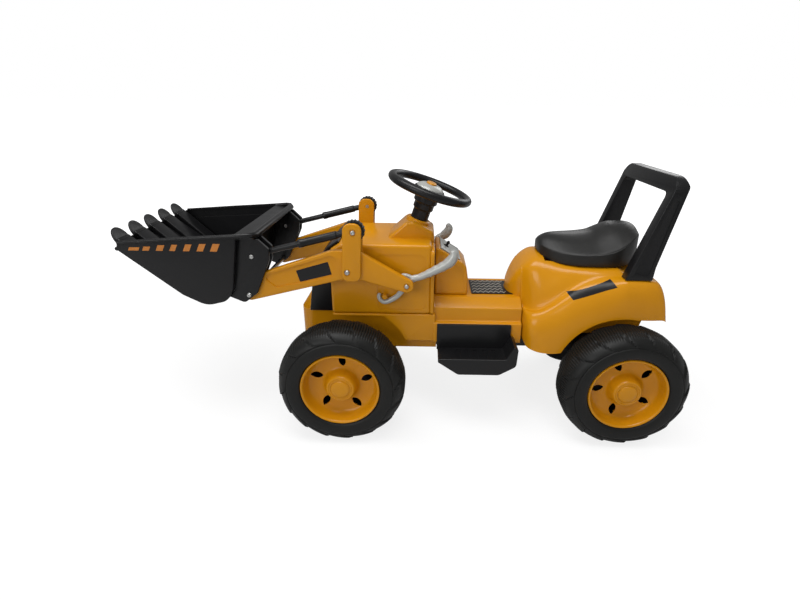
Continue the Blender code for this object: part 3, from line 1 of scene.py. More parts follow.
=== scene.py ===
# %% [markdown]
# # A child's ride-on loader, dressed for its picture
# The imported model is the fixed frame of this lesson: a toy tractor with a front bucket,
# 1.15 m long, with its nose towards -X and its photographed left side towards -Y.
# Every finished piece replaces or covers a solid of that frame and rides on its body, so
# the picture and the moving model stay one thing.

# %% Load the frame and keep its size
import json
import math

import bmesh
import bpy
from mathutils import Matrix, Vector


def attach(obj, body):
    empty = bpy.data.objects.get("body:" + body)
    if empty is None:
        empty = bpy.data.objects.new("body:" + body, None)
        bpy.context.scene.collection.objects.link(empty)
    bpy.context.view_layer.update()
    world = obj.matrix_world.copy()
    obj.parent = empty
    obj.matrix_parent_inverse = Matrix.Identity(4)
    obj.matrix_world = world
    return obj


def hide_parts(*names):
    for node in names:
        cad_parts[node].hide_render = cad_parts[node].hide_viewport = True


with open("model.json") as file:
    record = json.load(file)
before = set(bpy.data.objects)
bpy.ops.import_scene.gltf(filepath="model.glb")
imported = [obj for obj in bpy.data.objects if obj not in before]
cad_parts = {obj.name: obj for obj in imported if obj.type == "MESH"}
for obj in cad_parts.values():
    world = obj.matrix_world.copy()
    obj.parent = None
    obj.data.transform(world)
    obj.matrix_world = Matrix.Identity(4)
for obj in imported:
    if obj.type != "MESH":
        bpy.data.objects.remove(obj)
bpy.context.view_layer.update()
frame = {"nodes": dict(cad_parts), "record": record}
nodes = frame["nodes"]
print("nodes in the frame:", len(nodes))

# %% [markdown]
# ## The camera
# The photograph was taken from about a metre away, a little above the toy, with a wide
# lens, so the near wheels look large and the ground falls away steeply. The lens and the
# place were worked out from the wheels, which are circles of one known size.

# %% Stand the camera where the photograph was taken
MM = 0.001
camera_data = bpy.data.cameras.new("camera")
camera_data.lens = 20.25
camera_data.sensor_width = 36
camera_data.shift_x = -0.0268
camera_data.shift_y = -0.0491
camera_data.clip_start = 0.01
camera = bpy.data.objects.new("camera", camera_data)
camera.location = Vector((35.2, -950.2, 681.9)) * MM
turn = Matrix.Rotation(math.radians(0.42), 3, "Z") @ Matrix.Rotation(math.radians(70.23), 3, "X")
camera.rotation_euler = (turn @ Matrix.Rotation(math.radians(0.70), 3, "Z")).to_euler()
bpy.context.scene.collection.objects.link(camera)
bpy.context.scene.camera = camera
print("camera stands", round(camera.location.length, 3), "m from the middle of the footprint")

# %% [markdown]
# ## Light and floor
# The toy stands in an even white room. One large lamp hangs above it, a second one fills
# the photographed side, a third one lights the far side from behind, and the world adds a
# soft white from everywhere. The long soft highlights on the mouldings come from the
# shape of these lamps. The floor is white and keeps the toy's shadow.

# %% Set the picture's plain view and hang the lamps
scene = bpy.context.scene
scene.view_settings.view_transform = "Standard"


def area_lamp(name, place, target, size, power):
    data = bpy.data.lights.new(name, "AREA")
    data.shape = "RECTANGLE"
    data.size, data.size_y = size
    data.energy = power
    lamp = bpy.data.objects.new(name, data)
    lamp.location = place
    lamp.rotation_euler = (Vector(target) - Vector(place)).to_track_quat("-Z", "Y").to_euler()
    scene.collection.objects.link(lamp)


area_lamp("ceiling_lamp", (-0.3, -0.5, 2.3), (0, 0, 0.2), (2.2, 0.9), 38)
area_lamp("side_lamp", (-1.6, -2.4, 1.5), (0, 0, 0.25), (1.6, 1.2), 23)
area_lamp("back_lamp", (1.6, 2.0, 1.6), (0, 0, 0.3), (1.6, 1.2), 16)

# %% [markdown]
# Worlds and materials are trees of nodes. Three small helpers keep their cells short: one
# sets the values on a node's own sockets, one adds a node, and one joins outputs to
# inputs. They come first in the world, which is pure white where the camera looks past
# everything, while the light that it throws on the toy stays soft.

# %% Helpers for nodes, and the white world
WHITE = (1, 1, 1, 1)
ROOM_STRENGTH = 0.34


def fill(node, values):
    """Sets values on a node's own sockets."""
    for socket, value in values.items():
        node.inputs[socket].default_value = value


def add(tree, kind, values=None, **settings):
    """A new node with its settings, and the values of its sockets."""
    node = tree.nodes.new(kind)
    for setting, value in settings.items():
        setattr(node, setting, value)
    fill(node, values or {})
    return node


def wire(tree, *joints):
    """Joins, for each (node, output, node, input), the output to the input."""
    for source, leaving, target, entering in joints:
        tree.links.new(source.outputs[leaving], target.inputs[entering])


world = bpy.data.worlds.new("white_room")
scene.world = world
world.use_nodes = True
tree = world.node_tree
room = tree.nodes["Background"]
fill(room, {"Color": WHITE, "Strength": ROOM_STRENGTH})
seen = add(tree, "ShaderNodeBackground", {"Color": WHITE, "Strength": 1.0})
path = add(tree, "ShaderNodeLightPath")
mix = add(tree, "ShaderNodeMixShader")
wire(
    tree, (path, "Is Camera Ray", mix, "Fac"), (room, 0, mix, 1), (seen, 0, mix, 2),
    (mix, 0, tree.nodes["World Output"], "Surface"),
)
print("the world has", len(tree.nodes), "nodes")

# %% [markdown]
# The floor needs two things at once: paint that can hold a shadow, and the even white of
# the photograph. So the camera sees a mix of grey paint and a white glow, and the share of
# the glow grows with the distance from the toy until only white is left. Other rays meet
# the paint alone, so the floor throws no extra light on the toy.

# %% The floor
FLOOR_HALF = 60
FLOOR_DROP = 0.0005
FLOOR_PAINT = 0.62
GLOW_STRENGTH = 1.3
GLOW_NEAR, GLOW_FAR = 0.75, 1.8
GLOW_SHARE_NEAR = 0.62

floor_mesh = bpy.data.meshes.new("floor")
bm = bmesh.new()
bmesh.ops.create_grid(bm, x_segments=1, y_segments=1, size=FLOOR_HALF)
bmesh.ops.translate(bm, vec=(0, 0, -FLOOR_DROP), verts=bm.verts)
bm.to_mesh(floor_mesh)
bm.free()
floor = bpy.data.objects.new("floor", floor_mesh)
scene.collection.objects.link(floor)

white_floor = bpy.data.materials.new("white_floor")
white_floor.use_nodes = True
tree = white_floor.node_tree
paint = tree.nodes["Principled BSDF"]
fill(paint, {
    "Base Color": (FLOOR_PAINT, FLOOR_PAINT, FLOOR_PAINT, 1), "Roughness": 0.7, "Specular IOR Level": 0.2,
})
glow = add(tree, "ShaderNodeEmission", {"Strength": GLOW_STRENGTH})
mix = add(tree, "ShaderNodeMixShader")
path = add(tree, "ShaderNodeLightPath")
share = add(tree, "ShaderNodeMath", operation="MULTIPLY")
spot = add(tree, "ShaderNodeTexCoord")
reach = add(tree, "ShaderNodeVectorMath", operation="LENGTH")
fade = add(tree, "ShaderNodeMapRange", {
    "From Min": GLOW_NEAR, "From Max": GLOW_FAR, "To Min": GLOW_SHARE_NEAR,
})
wire(
    tree, (spot, "Object", reach, 0), (reach, "Value", fade, "Value"), (fade, "Result", share, 1),
    (path, "Is Camera Ray", share, 0), (share, 0, mix, "Fac"), (paint, 0, mix, 1), (glow, 0, mix, 2),
    (mix, 0, tree.nodes["Material Output"], "Surface"),
)
floor_mesh.materials.append(white_floor)
print("floor is", tuple(round(v, 1) for v in floor.dimensions[:2]), "m")

# %% [markdown]
# ## One effect for every moulding
# Blow-moulded plastic is never one flat colour: the wall is thicker here and thinner
# there, so its tint drifts slowly, its skin has a very fine orange-peel, and the gloss
# is rubbed in places. One node group makes all three from the object's own coordinates,
# and each material sets its own amounts.

# %% Build the moulded skin as a node group
COLOUR, NUMBER, VECTOR = "NodeSocketColor", "NodeSocketFloat", "NodeSocketVector"
DRIFT_SCALE = 7
RUB_SCALE = 38
GRAIN_REACH = 0.0004

skin = bpy.data.node_groups.new("moulded_skin", "ShaderNodeTree")
for socket, kind, value in (
    ("Colour", COLOUR, (0.5, 0.5, 0.5, 1)), ("Shade colour", COLOUR, (0.4, 0.4, 0.4, 1)),
    ("Drift", NUMBER, 0.3), ("Grain size", NUMBER, 900.0), ("Grain depth", NUMBER, 0.1),
    ("Gloss low", NUMBER, 0.25), ("Gloss high", NUMBER, 0.35),
):
    made = skin.interface.new_socket(name=socket, in_out="INPUT", socket_type=kind)
    made.default_value = value
for socket, kind in (("Colour", COLOUR), ("Roughness", NUMBER), ("Normal", VECTOR)):
    skin.interface.new_socket(name=socket, in_out="OUTPUT", socket_type=kind)
enter = add(skin, "NodeGroupInput")
leave = add(skin, "NodeGroupOutput")
place = add(skin, "ShaderNodeTexCoord")
drift = add(skin, "ShaderNodeTexNoise", {"Scale": DRIFT_SCALE, "Detail": 3})
weigh = add(skin, "ShaderNodeMath", operation="MULTIPLY")
blend = add(skin, "ShaderNodeMix", data_type="RGBA")
rub = add(skin, "ShaderNodeTexNoise", {"Scale": RUB_SCALE, "Detail": 4})
level = add(skin, "ShaderNodeMapRange")
grain = add(skin, "ShaderNodeTexNoise", {"Detail": 2})
bump = add(skin, "ShaderNodeBump", {"Distance": GRAIN_REACH})
wire(skin, *[(place, "Object", texture, "Vector") for texture in (drift, rub, grain)])
wire(
    skin, (drift, "Fac", weigh, 0), (enter, "Drift", weigh, 1), (weigh, 0, blend, "Factor"),
    (enter, "Colour", blend, "A"), (enter, "Shade colour", blend, "B"), (blend, "Result", leave, "Colour"),
)
wire(
    skin, (rub, "Fac", level, "Value"), (enter, "Gloss low", level, "To Min"),
    (enter, "Gloss high", level, "To Max"), (level, "Result", leave, "Roughness"),
)
wire(
    skin, (enter, "Grain size", grain, "Scale"), (grain, "Fac", bump, "Height"),
    (enter, "Grain depth", bump, "Strength"), (bump, "Normal", leave, "Normal"),
)
print("moulded skin:", len(skin.nodes), "nodes")

# %% [markdown]
# A material is that skin with its own numbers: the main colour, the colour it drifts to,
# how far it drifts, the size and depth of the grain, and the two ends of its gloss. The
# yellow shell and the silver levers have a thin coat, which gives their long highlights,
# and only the zinc of the screws is a true metal.

# %% The finishes of this toy
COAT_ROUGHNESS = 0.12


def moulded(
    name, colour, shade, drift_share, grain_size, grain_depth, gloss, coat=0.0, metallic=0.0, shine=0.4
):
    material = bpy.data.materials.new(name)
    material.use_nodes = True
    tree = material.node_tree
    shader = tree.nodes["Principled BSDF"]
    fill(shader, {
        "Metallic": metallic, "Specular IOR Level": shine, "Coat Weight": coat,
        "Coat Roughness": COAT_ROUGHNESS,
    })
    group = add(tree, "ShaderNodeGroup", node_tree=skin, name="skin")
    fill(group, {
        "Colour": (*colour, 1), "Shade colour": (*shade, 1), "Drift": drift_share,
        "Grain size": grain_size, "Grain depth": grain_depth, "Gloss low": gloss[0], "Gloss high": gloss[1],
    })
    wire(
        tree, (group, "Colour", shader, "Base Color"), (group, "Roughness", shader, "Roughness"),
        (group, "Normal", shader, "Normal"),
    )
    return material


yellow = moulded(
    "body_yellow", (0.64, 0.268, 0.004), (0.50, 0.20, 0.003), 0.7, 420, 0.05, (0.18, 0.28), 0.1, shine=0.24
)
black = moulded(
    "satin_black", (0.0085, 0.0085, 0.0092), (0.0055, 0.0055, 0.006), 0.8, 1300, 0.16, (0.26, 0.38), shine=0.3
)
tyre_black = moulded(
    "tyre_black", (0.0085, 0.0088, 0.0082), (0.005, 0.005, 0.0048), 0.8, 1500, 0.2, (0.38, 0.55), shine=0.26
)
# Painted light: the saddle is the same black plastic as the other black parts, made lighter to stand for its
# lit top.
seat_lit_black = moulded(
    "seat_lit_black", (0.015, 0.0148, 0.014), (0.01, 0.0098, 0.0094), 0.8, 2200, 0.3, (0.34, 0.46), shine=0.34
)
silver = moulded(
    "silver_grey", (0.45, 0.455, 0.435), (0.34, 0.35, 0.33), 0.8, 700, 0.06, (0.26, 0.38), 0.2, 0.15
)
grey = moulded("panel_grey", (0.36, 0.37, 0.35), (0.30, 0.31, 0.29), 0.6, 900, 0.08, (0.3, 0.4))
painted = moulded("painted_steel", (0.01, 0.01, 0.0105), (0.016, 0.014, 0.012), 0.6, 500, 0.12, (0.35, 0.55))
orange = moulded("dash_orange", (0.56, 0.20, 0.03), (0.40, 0.13, 0.02), 0.8, 800, 0.05, (0.35, 0.5))
# A pale grey for the raised waves of the grip plate.
pale_wave_grey = moulded("pale_wave_grey", (0.42, 0.40, 0.34), (0.26, 0.25, 0.22), 0.9, 1600, 0.15, (0.35, 0.5))
zinc = moulded("zinc_steel", (0.58, 0.58, 0.57), (0.42, 0.42, 0.41), 0.9, 1600, 0.12, (0.25, 0.42), 0.0, 1.0)
print("finishes:", [m.name for m in bpy.data.materials])

# %% [markdown]
# The frame's own solids get these finishes too, because some of them, such as the axles,
# the motor and the battery, are seen only through gaps and need no finer form.

# %% Every solid of the frame gets its finish
FINISH = {
    "yellow_plastic": yellow, "black_plastic": black, "frame_black": painted, "tyre_black": tyre_black,
    "grey_plastic": grey, "silver_plastic": silver, "steel": zinc,
}
slots = {part["node"]: part["material_slot"] for part in frame["record"]["subparts"]}
for name, node in nodes.items():
    node.data.materials.clear()
    node.data.materials.append(FINISH[slots[name]])
# The seat takes the saddle's lightened black, which is painted light of its lit top.
nodes["seat"].data.materials[0] = seat_lit_black
print("solids with a finish:", len(slots))

# %% [markdown]
# ## Four ways to make a moulding
# Nearly every piece of this toy is one of four forms: a flat outline drawn out across the
# toy, a profile turned about an axle, a section carried along a path, or a row of
# sections joined into a skin. Each form gets one helper, so that the cells below only
# hold the sizes of the real pieces, in millimetres. An outline is a list of flat points,
# and it is drawn out across the toy where no other axis is named.

# %% Outlines with rounded corners, and arcs
def rounded(corners, steps=6):
    """Outline through corners (a, b, radius), each radius made an arc."""
    outline = []
    for index, (a, b, radius) in enumerate(corners):
        here = Vector((a, b))
        if not radius:
            outline.append(here)
            continue
        back = (Vector(corners[index - 1][:2]) - here).normalized()
        ahead = (Vector(corners[(index + 1) % len(corners)][:2]) - here).normalized()
        half = back.angle(ahead) / 2
        centre = here + (back + ahead).normalized() * radius / math.sin(half)
        start = here + back * radius / math.tan(half) - centre
        end = here + ahead * radius / math.tan(half) - centre
        first = math.atan2(start.y, start.x)
        turn = math.remainder(math.atan2(end.y, end.x) - first, math.tau)
        for step in range(steps + 1):
            angle = first + turn * step / steps
            outline.append(centre + Vector((math.cos(angle), math.sin(angle))) * radius)
    return outline


def arc(centre, radius, start, end, steps):
    angles = [math.radians(start + (end - start) * step / steps) for step in range(steps + 1)]
    return [Vector((centre[0] + radius * math.cos(a), centre[1] + radius * math.sin(a))) for a in angles]


def ellipse(wide, high, steps=48, centre=(0, 0)):
    angles = [math.tau * step / steps for step in range(steps)]
    return [(centre[0] + wide * math.cos(a), centre[1] + high * math.sin(a)) for a in angles]


def inset(outline, distance):
    """The outline with each edge moved inwards by distance."""
    area = sum(a[0] * b[1] - b[0] * a[1] for a, b in zip(outline, outline[1:] + outline[:1]))
    sign = 1 if area > 0 else -1
    result = []
    for index, point in enumerate(outline):
        here = Vector(point)
        before = (here - Vector(outline[index - 1])).normalized()
        after = (Vector(outline[(index + 1) % len(outline)]) - here).normalized()
        normal_before = Vector((-before.y, before.x)) * sign
        normal_after = Vector((-after.y, after.x)) * sign
        mitre = (normal_before + normal_after).normalized()
        result.append(here + mitre * distance / mitre.dot(normal_after))
    return result


print("a square with 3 mm corners has", len(rounded([(0, 0, 3), (9, 0, 3), (9, 9, 3), (0, 9, 3)])), "points")

# %% A flat outline, drawn out and softened
ACROSS = Vector((0, 1, 0))
PLACE = {
    "X": lambda a, b, h: Vector((h, a, b)) * MM,
    "Y": lambda a, b, h: Vector((a, h, b)) * MM,
    "Z": lambda a, b, h: Vector((a, b, h)) * MM,
}


def loop_of(bm, points):
    """A closed loop of edges through points, as its edges."""
    verts = [bm.verts.new(point) for point in points]
    return [bm.edges.new((verts[index - 1], verts[index])) for index in range(len(verts))]


def soften(bm, width, segments=3, above=50):
    """Rounds every rim that is sharper than the angle above."""
    rims = [e for e in bm.edges if len(e.link_faces) == 2 and e.calc_face_angle() > math.radians(above)]
    bmesh.ops.bevel(
        bm, geom=rims, offset=width * MM, segments=segments, profile=0.5, affect="EDGES", material=-1,
        clamp_overlap=True,
    )
    return bm


def plate(outline, low, high, across="Y", edge=0.0, segments=3, above=50):
    """An outline (a, b), drawn out from low to high along one axis."""
    bm = bmesh.new()
    place = PLACE[across]
    edges = loop_of(bm, [place(a, b, low) for a, b in outline])
    faces = bmesh.ops.contextual_create(bm, geom=edges)["faces"]
    grown = bmesh.ops.extrude_face_region(bm, geom=faces)["geom"]
    moved = [part for part in grown if isinstance(part, bmesh.types.BMVert)]
    bmesh.ops.translate(bm, vec=place(0, 0, high - low), verts=moved)
    bmesh.ops.recalc_face_normals(bm, faces=bm.faces)
    if edge:
        soften(bm, edge, segments, above)
    return bm


def block(low, high):
    """A plain box between two corners."""
    outline = [(low[0], low[2]), (high[0], low[2]), (high[0], high[2]), (low[0], high[2])]
    return plate(outline, low[1], high[1])


def tilted(bm, centre, along):
    """Turns a form that was drawn flat, so that its X runs along a slope."""
    turn = Matrix((along, ACROSS, along.cross(ACROSS))).transposed()
    bmesh.ops.rotate(bm, matrix=turn, verts=bm.verts)
    bmesh.ops.translate(bm, vec=Vector(centre) * MM, verts=bm.verts)
    return bm


# %% A profile turned about an axis
def turned(profile, centre, axis, steps, closed=False):
    """A profile (radius, height), turned about an axis through centre."""
    bm = bmesh.new()
    verts = [bm.verts.new((radius * MM, 0, height * MM)) for radius, height in profile]
    edges = [bm.edges.new(pair) for pair in zip(verts, verts[1:])]
    if closed:
        edges.append(bm.edges.new((verts[-1], verts[0])))
    bmesh.ops.spin(
        bm, geom=verts + edges, cent=(0, 0, 0), axis=(0, 0, 1), angle=math.tau, steps=steps, use_merge=True
    )
    bmesh.ops.remove_doubles(bm, verts=bm.verts, dist=1e-6)
    turn = Vector(axis).to_track_quat("Z", "Y").to_matrix()
    bmesh.ops.rotate(bm, matrix=turn, verts=bm.verts)
    bmesh.ops.translate(bm, vec=Vector(centre) * MM, verts=bm.verts)
    bmesh.ops.recalc_face_normals(bm, faces=bm.faces)
    return bm


def bar(start, end, radius, steps=32, edge=0.0):
    """A round bar from start to end."""
    start, end = Vector(start), Vector(end)
    length = (end - start).length
    profile = [(0, 0), (radius, 0), (radius, length), (0, length)]
    if edge:
        profile = [
            (0, 0), (radius - edge, 0), (radius - edge * 0.3, edge * 0.3), (radius, edge),
            (radius, length - edge), (radius - edge * 0.3, length - edge * 0.3), (radius - edge, length),
            (0, length),
        ]
    return turned(profile, start, end - start, steps)


def crossbar(place, low, high, radius, steps=24, edge=0.0):
    """A round bar across the toy at place (x, z), from y = low to y = high."""
    return bar((place[0], low, place[1]), (place[0], high, place[1]), radius, steps, edge)


# %% A straight ramp, and a number read off a table
def ramp(value, start, end):
    """Nothing before start, 1 past end, and a straight rise between them."""
    return max(0, min((value - start) / (end - start), 1))


def read_off(table, x):
    """The number at x in a table of (x, number), on straight lines between its rows."""
    for (a, low), (b, high) in zip(table, table[1:]):
        if a <= x <= b:
            return low + (high - low) * (x - a) / (b - a)
    return table[-1][1]


# %% Sections along a path, and sections joined into a skin
def smooth_row(points, per=5):
    """A smooth row through points of any size, with per steps between each two."""
    points = [Vector(point) for point in points]
    row = []
    for index in range(len(points) - 1):
        a = points[max(index - 1, 0)]
        b, c = points[index], points[index + 1]
        d = points[min(index + 2, len(points) - 1)]
        for step in range(per):
            t = step / per
            row.append(0.5 * (
                2 * b + (c - a) * t + (2 * a - 5 * b + 4 * c - d) * t * t + (3 * b - a - 3 * c + d) * t ** 3
            ))
    return row + [points[-1]]


def smooth_sections(sections, per):
    """Smooth sections through the given ones, with per steps between each two."""
    columns = [smooth_row(column, per) for column in zip(*sections)]
    return [list(row) for row in zip(*columns)]


def skinned(rows):
    """Closed rows of points, bridged one to the next, with both ends closed."""
    bm = bmesh.new()
    loops = [loop_of(bm, [point * MM for point in row]) for row in rows]
    for before, after in zip(loops, loops[1:]):
        bmesh.ops.bridge_loops(bm, edges=before + after)
    for loop in (loops[0], loops[-1]):
        bmesh.ops.contextual_create(bm, geom=loop)
    bmesh.ops.recalc_face_normals(bm, faces=bm.faces)
    return bm


def swept(path, across=ACROSS, sides=20, square=1.0):
    """An oval section along path points (x, y, z, half across, half high)."""
    across = Vector(across)
    rings = []
    for index, point in enumerate(path):
        centre = Vector(point[:3])
        before = Vector(path[max(index - 1, 0)][:3])
        after = Vector(path[min(index + 1, len(path) - 1)][:3])
        along = (after - before).normalized()
        rise = along.cross(across).normalized()
        side = rise.cross(along)
        ring = []
        for step in range(sides):
            a = math.tau * step / sides
            c, s = math.cos(a), math.sin(a)
            c = math.copysign(abs(c) ** square, c)
            s = math.copysign(abs(s) ** square, s)
            ring.append(centre + side * c * point[3] + rise * s * point[4])
        rings.append(ring)
    return skinned(rings)


# %% Cut one form from another, weld them, or gather them
def worked(target, others, operation="DIFFERENCE"):
    """The target mesh with the others cut away from it or welded to it."""
    made = []
    for bm in (target, *others):
        mesh = bpy.data.meshes.new("work")
        bm.to_mesh(mesh)
        bm.free()
        ob = bpy.data.objects.new("work", mesh)
        scene.collection.objects.link(ob)
        made.append(ob)
    for other in made[1:]:
        step = made[0].modifiers.new("step", "BOOLEAN")
        step.operation = operation
        step.object = other
        step.solver = "EXACT"
    graph = bpy.context.evaluated_depsgraph_get()
    result = bpy.data.meshes.new_from_object(made[0].evaluated_get(graph))
    bm = bmesh.new()
    bm.from_mesh(result)
    for ob in made:
        old = ob.data
        bpy.data.objects.remove(ob)
        bpy.data.meshes.remove(old)
    bpy.data.meshes.remove(result)
    return bm


def gathered(forms):
    """Many forms that stay apart, as one mesh."""
    whole = bmesh.new()
    for bm in forms:
        mesh = bpy.data.meshes.new("work")
        bm.to_mesh(mesh)
        bm.free()
        whole.from_mesh(mesh)
        bpy.data.meshes.remove(mesh)
    return whole


# %% A finished piece rides on its body and stands for its solid
def finished(bm, name, material, body, *replaced, slot=None, angle=35):
    bmesh.ops.remove_doubles(bm, verts=bm.verts, dist=2e-6)
    bmesh.ops.recalc_face_normals(bm, faces=bm.faces)
    mesh = bpy.data.meshes.new(name)
    bm.to_mesh(mesh)
    bm.free()
    mesh.shade_smooth()
    mesh.set_sharp_from_angle(angle=math.radians(angle))
    mesh.materials.append(material)
    piece = bpy.data.objects.new(name, mesh)
    scene.collection.objects.link(piece)
    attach(piece, body)
    if replaced:
        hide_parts(*replaced)
    print(f"{name}: {len(mesh.polygons)} faces")
    return piece


# %% [markdown]
# The same few places come back in many pieces: the axles, the joints of the loader, the
# pins of the saddle and the pedal, and the steering column, which leans back by 19
# degrees. A hole is a little wider than the shaft or bolt that turns in it.

# %% Places and sizes that several pieces share
SIDES = {"left": -1, "right": 1}
AXLE_X = {"front": -131, "rear": 446}
AXLE_Z = 130
WHEEL_Y = 153
ARM_TIP, ARM_PIVOT, ARM_TAIL = (-316, 307), (-117, 358), (0, 327)
LINK_FRONT, LINK_BACK = (-302, 389), (-103, 440)
SADDLE_PIN, PEDAL_PIN = (484, 352), (154, 180)
SHAFT_HOLE, BOLT_HOLE, SADDLE_HOLE = 5.35, 4.35, 3.35
HEAD_HOLE = 6.8
HEAD_SEAT = 127.3
INNER_PLATE, ARM_LAYER, OUTER_PLATE = (98, 105), (105.3, 119), (119.3, 127)
HOOD_SIDE = 85
COLLAR_Z = 430
CHANNEL_TOP = 176
STEER = Vector((45, 0, 505))
LEAN = Vector((math.sin(math.radians(19)), 0, math.cos(math.radians(19))))


def on_column(z):
    """The point at height z on the middle line of the steering column."""
    return STEER - LEAN * (STEER.z - z) / LEAN.z


def layer(outline, side, span, edge, segments=3, above=50):
    """An outline drawn out over one of the layers that lie side by side in the loader."""
    return plate(outline, side * span[0], side * span[1], "Y", edge, segments, above)


print("the column leaves the hood at", [round(v, 1) for v in on_column(COLLAR_Z)])

# %% [markdown]
# ## The wheels
# The tyre is a hard hollow moulding, not rubber. Its side has a smooth band next to the
# rim, then overlapping rounded lugs on the shoulder, and the crown is finely toothed. A
# profile is turned in many narrow steps, and then every vertex is moved by a rule that
# knows only its radius, its distance from the middle and its angle.

# %% The tyre's profile and its lugs
TREAD_TEETH = 152
LUGS = 16
LUG_FOOT, LUG_REACH = 107, 23
LUG_DEPTH, LUG_BULGE = 4.2, 3.8
CROWN_HALF = 16
CROWN_TOOTH = {True: 0.7, False: -1.4}
SHOULDER_TOOTH = {True: 0.4, False: -0.8}


def tyre_profile():
    half = [
        (80.3, 35.5), (81.5, 38.5), (84, 41), (88, 42.3), (95, 42.9), (101, 42.9), (104.4, 42.4),
        (106, 41.6), (107, 40.2), (108, 40.4), (109.2, 41.2), (112, 40.8), (115, 39.4), (118, 37.2),
        (121, 34.2), (123.8, 30.4), (126, 26.4), (127.6, 22), (128.6, 17.6), (129, 16.4), (129.2, 12),
        (129.3, 5), (129.3, 0),
    ]
    return half + [(radius, -height) for radius, height in half[-2::-1]]


def lug_height(turns, radius):
    """How far a shoulder lug stands up: a quick rise at its front, then a slow fall."""
    share = (turns * LUGS + (radius - LUG_FOOT) / LUG_REACH * 0.55) % 1
    rise = min(share / 0.07, 1)
    return rise * rise * (3 - 2 * rise) * (1 - 0.6 * share)


def shape_tread(bm, side):
    """Presses the crown's teeth and the lugs of both shoulders into a turned tyre."""
    for vert in bm.verts:
        radius = math.hypot(vert.co.x, vert.co.z) / MM
        offset = vert.co.y / MM
        if radius < 108:
            continue
        turns = math.atan2(vert.co.z, vert.co.x * side) / math.tau % 1
        lug = lug_height(turns, radius)
        high = 0.3 < turns * TREAD_TEETH % 1 < 0.95
        if abs(offset) <= CROWN_HALF:
            grow = CROWN_TOOTH[high]
            outward = 0.0
        else:
            grow = (4.6 * lug - LUG_DEPTH) * ramp(radius, 110, 122)
            grow += SHOULDER_TOOTH[high] * ramp(radius, 122, 126)
            outward = (4.4 * lug - LUG_BULGE) * ramp(radius, 108, 112) * ramp(radius, 126, 118)
        scale = (radius + grow) / radius
        vert.co.x *= scale
        vert.co.z *= scale
        vert.co.y += (outward if offset > 0 else -outward) * MM


def make_tyre(end, side_name):
    side = SIDES[side_name]
    profile = tyre_profile() + [(78, -30), (78, 30)]
    bm = turned(profile, (0, 0, 0), (0, side, 0), TREAD_TEETH * 3, closed=True)
    shape_tread(bm, side)
    bmesh.ops.translate(bm, vec=Vector((AXLE_X[end], side * WHEEL_Y, AXLE_Z)) * MM, verts=bm.verts)
    wheel = f"{end}_{side_name}"
    finished(bm, f"tread_{wheel}", tyre_black, f"wheel_{wheel}", f"tyre_{wheel}", angle=42)


for end in AXLE_X:
    for side_name in SIDES:
        make_tyre(end, side_name)

# %% [markdown]
# The rim is one deep dish with a bright lip, five lens-shaped windows and a raised hub.
# Behind each window the inside of the rim is painted black as shade. The hub is closed by a round cap with
# one ring round it.

# %% The rim, its windows and its hub cap
SLOT_REACH = 53.5
SLOT_PHASE = {"front": 15, "rear": 38}
DISH = [
    (5.4, 32.8), (20.2, 32.8), (20.4, 34.8), (22.8, 35), (23.4, 34.2), (24, 34.2), (24.6, 35), (27, 34.6),
    (28.6, 33), (29.6, 30.4), (32, 22.4), (34, 17), (36.4, 13.8), (40, 12.2), (44, 11.8), (60, 12.2),
    (65, 13.8), (68.6, 17), (71.2, 22), (73, 28.6),
    (74.4, 36.6), (75.4, 38.6), (76.6, 39.6), (78, 39.9), (79.2, 39.4), (79.9, 38.2), (80, 36.4),
]
RIM_BACK = [
    (80, -36), (18, -36), (18, -33), (77, -33), (77, 30), (68, 9.4), (42, 8.6), (17, 8.6), (17, -36),
    (5.4, -36),
]
HUB_CAP = [
    (0, 37.6), (10, 37.5), (15.6, 37.1), (17.6, 36.4), (18.2, 35.4), (18.8, 35.2), (19.4, 35.8),
    (20, 35.4), (20.0, 33.3), (0, 33.3),
]


def slot_cutters(end, side, centre):
    """Five lens-shaped cutters round the hub, each a little askew."""
    outline = arc((0, -8.4), 15.5, 34, 146, 10) + arc((0, 8.4), 15.5, 214, 326, 10)
    cutters = []
    for index in range(5):
        angle = math.tau * index / 5 + math.radians(SLOT_PHASE[end])
        bm = plate(outline, side * 2, side * 60)
        bmesh.ops.rotate(bm, matrix=Matrix.Rotation(math.radians(-12), 3, "Y"), verts=bm.verts)
        bmesh.ops.translate(bm, vec=(SLOT_REACH * MM, 0, 0), verts=bm.verts)
        bmesh.ops.rotate(bm, matrix=Matrix.Rotation(-angle, 3, "Y"), verts=bm.verts)
        bmesh.ops.translate(bm, vec=Vector(centre) * MM, verts=bm.verts)
        cutters.append(bm)
    return cutters


def make_rim(end, side_name):
    side = SIDES[side_name]
    wheel = f"{end}_{side_name}"
    centre = (AXLE_X[end], side * WHEEL_Y, AXLE_Z)
    bm = turned(DISH + RIM_BACK, centre, (0, side, 0), 96, closed=True)
    bm = worked(bm, slot_cutters(end, side, centre))
    # Painted shade: the faces inside the rim, behind the front of the dish, take the black material.
    for face in bm.faces:
        middle = face.calc_center_median() / MM - Vector(centre)
        radius = math.hypot(middle.x, middle.z)
        behind = middle.y * side < read_off(DISH, radius) - 1.2
        face.material_index = int(15 < radius < 78 and behind)
    dish = finished(bm, f"dish_{wheel}", yellow, f"wheel_{wheel}", f"rim_{wheel}", angle=30)
    dish.data.materials.append(black)
    cap = turned(HUB_CAP, centre, (0, side, 0), 48)
    finished(cap, f"cap_{wheel}", yellow, f"wheel_{wheel}", f"hub_cap_{wheel}", angle=30)


for end in AXLE_X:
    for side_name in SIDES:
        make_rim(end, side_name)

# %% [markdown]
# ## The rear moulding
# One blow-moulded shell makes the narrow pod under the saddle and flows out into a fender
# over each rear wheel. Such a form has no flat outline to start from, so it is drawn as a
# row of cross-sections. They are those of the solid, but the pod's middle line is drawn
# lower in front of the saddle and its flank a little fuller. Both the row and every
# section are smoothed before they are bridged into a skin.

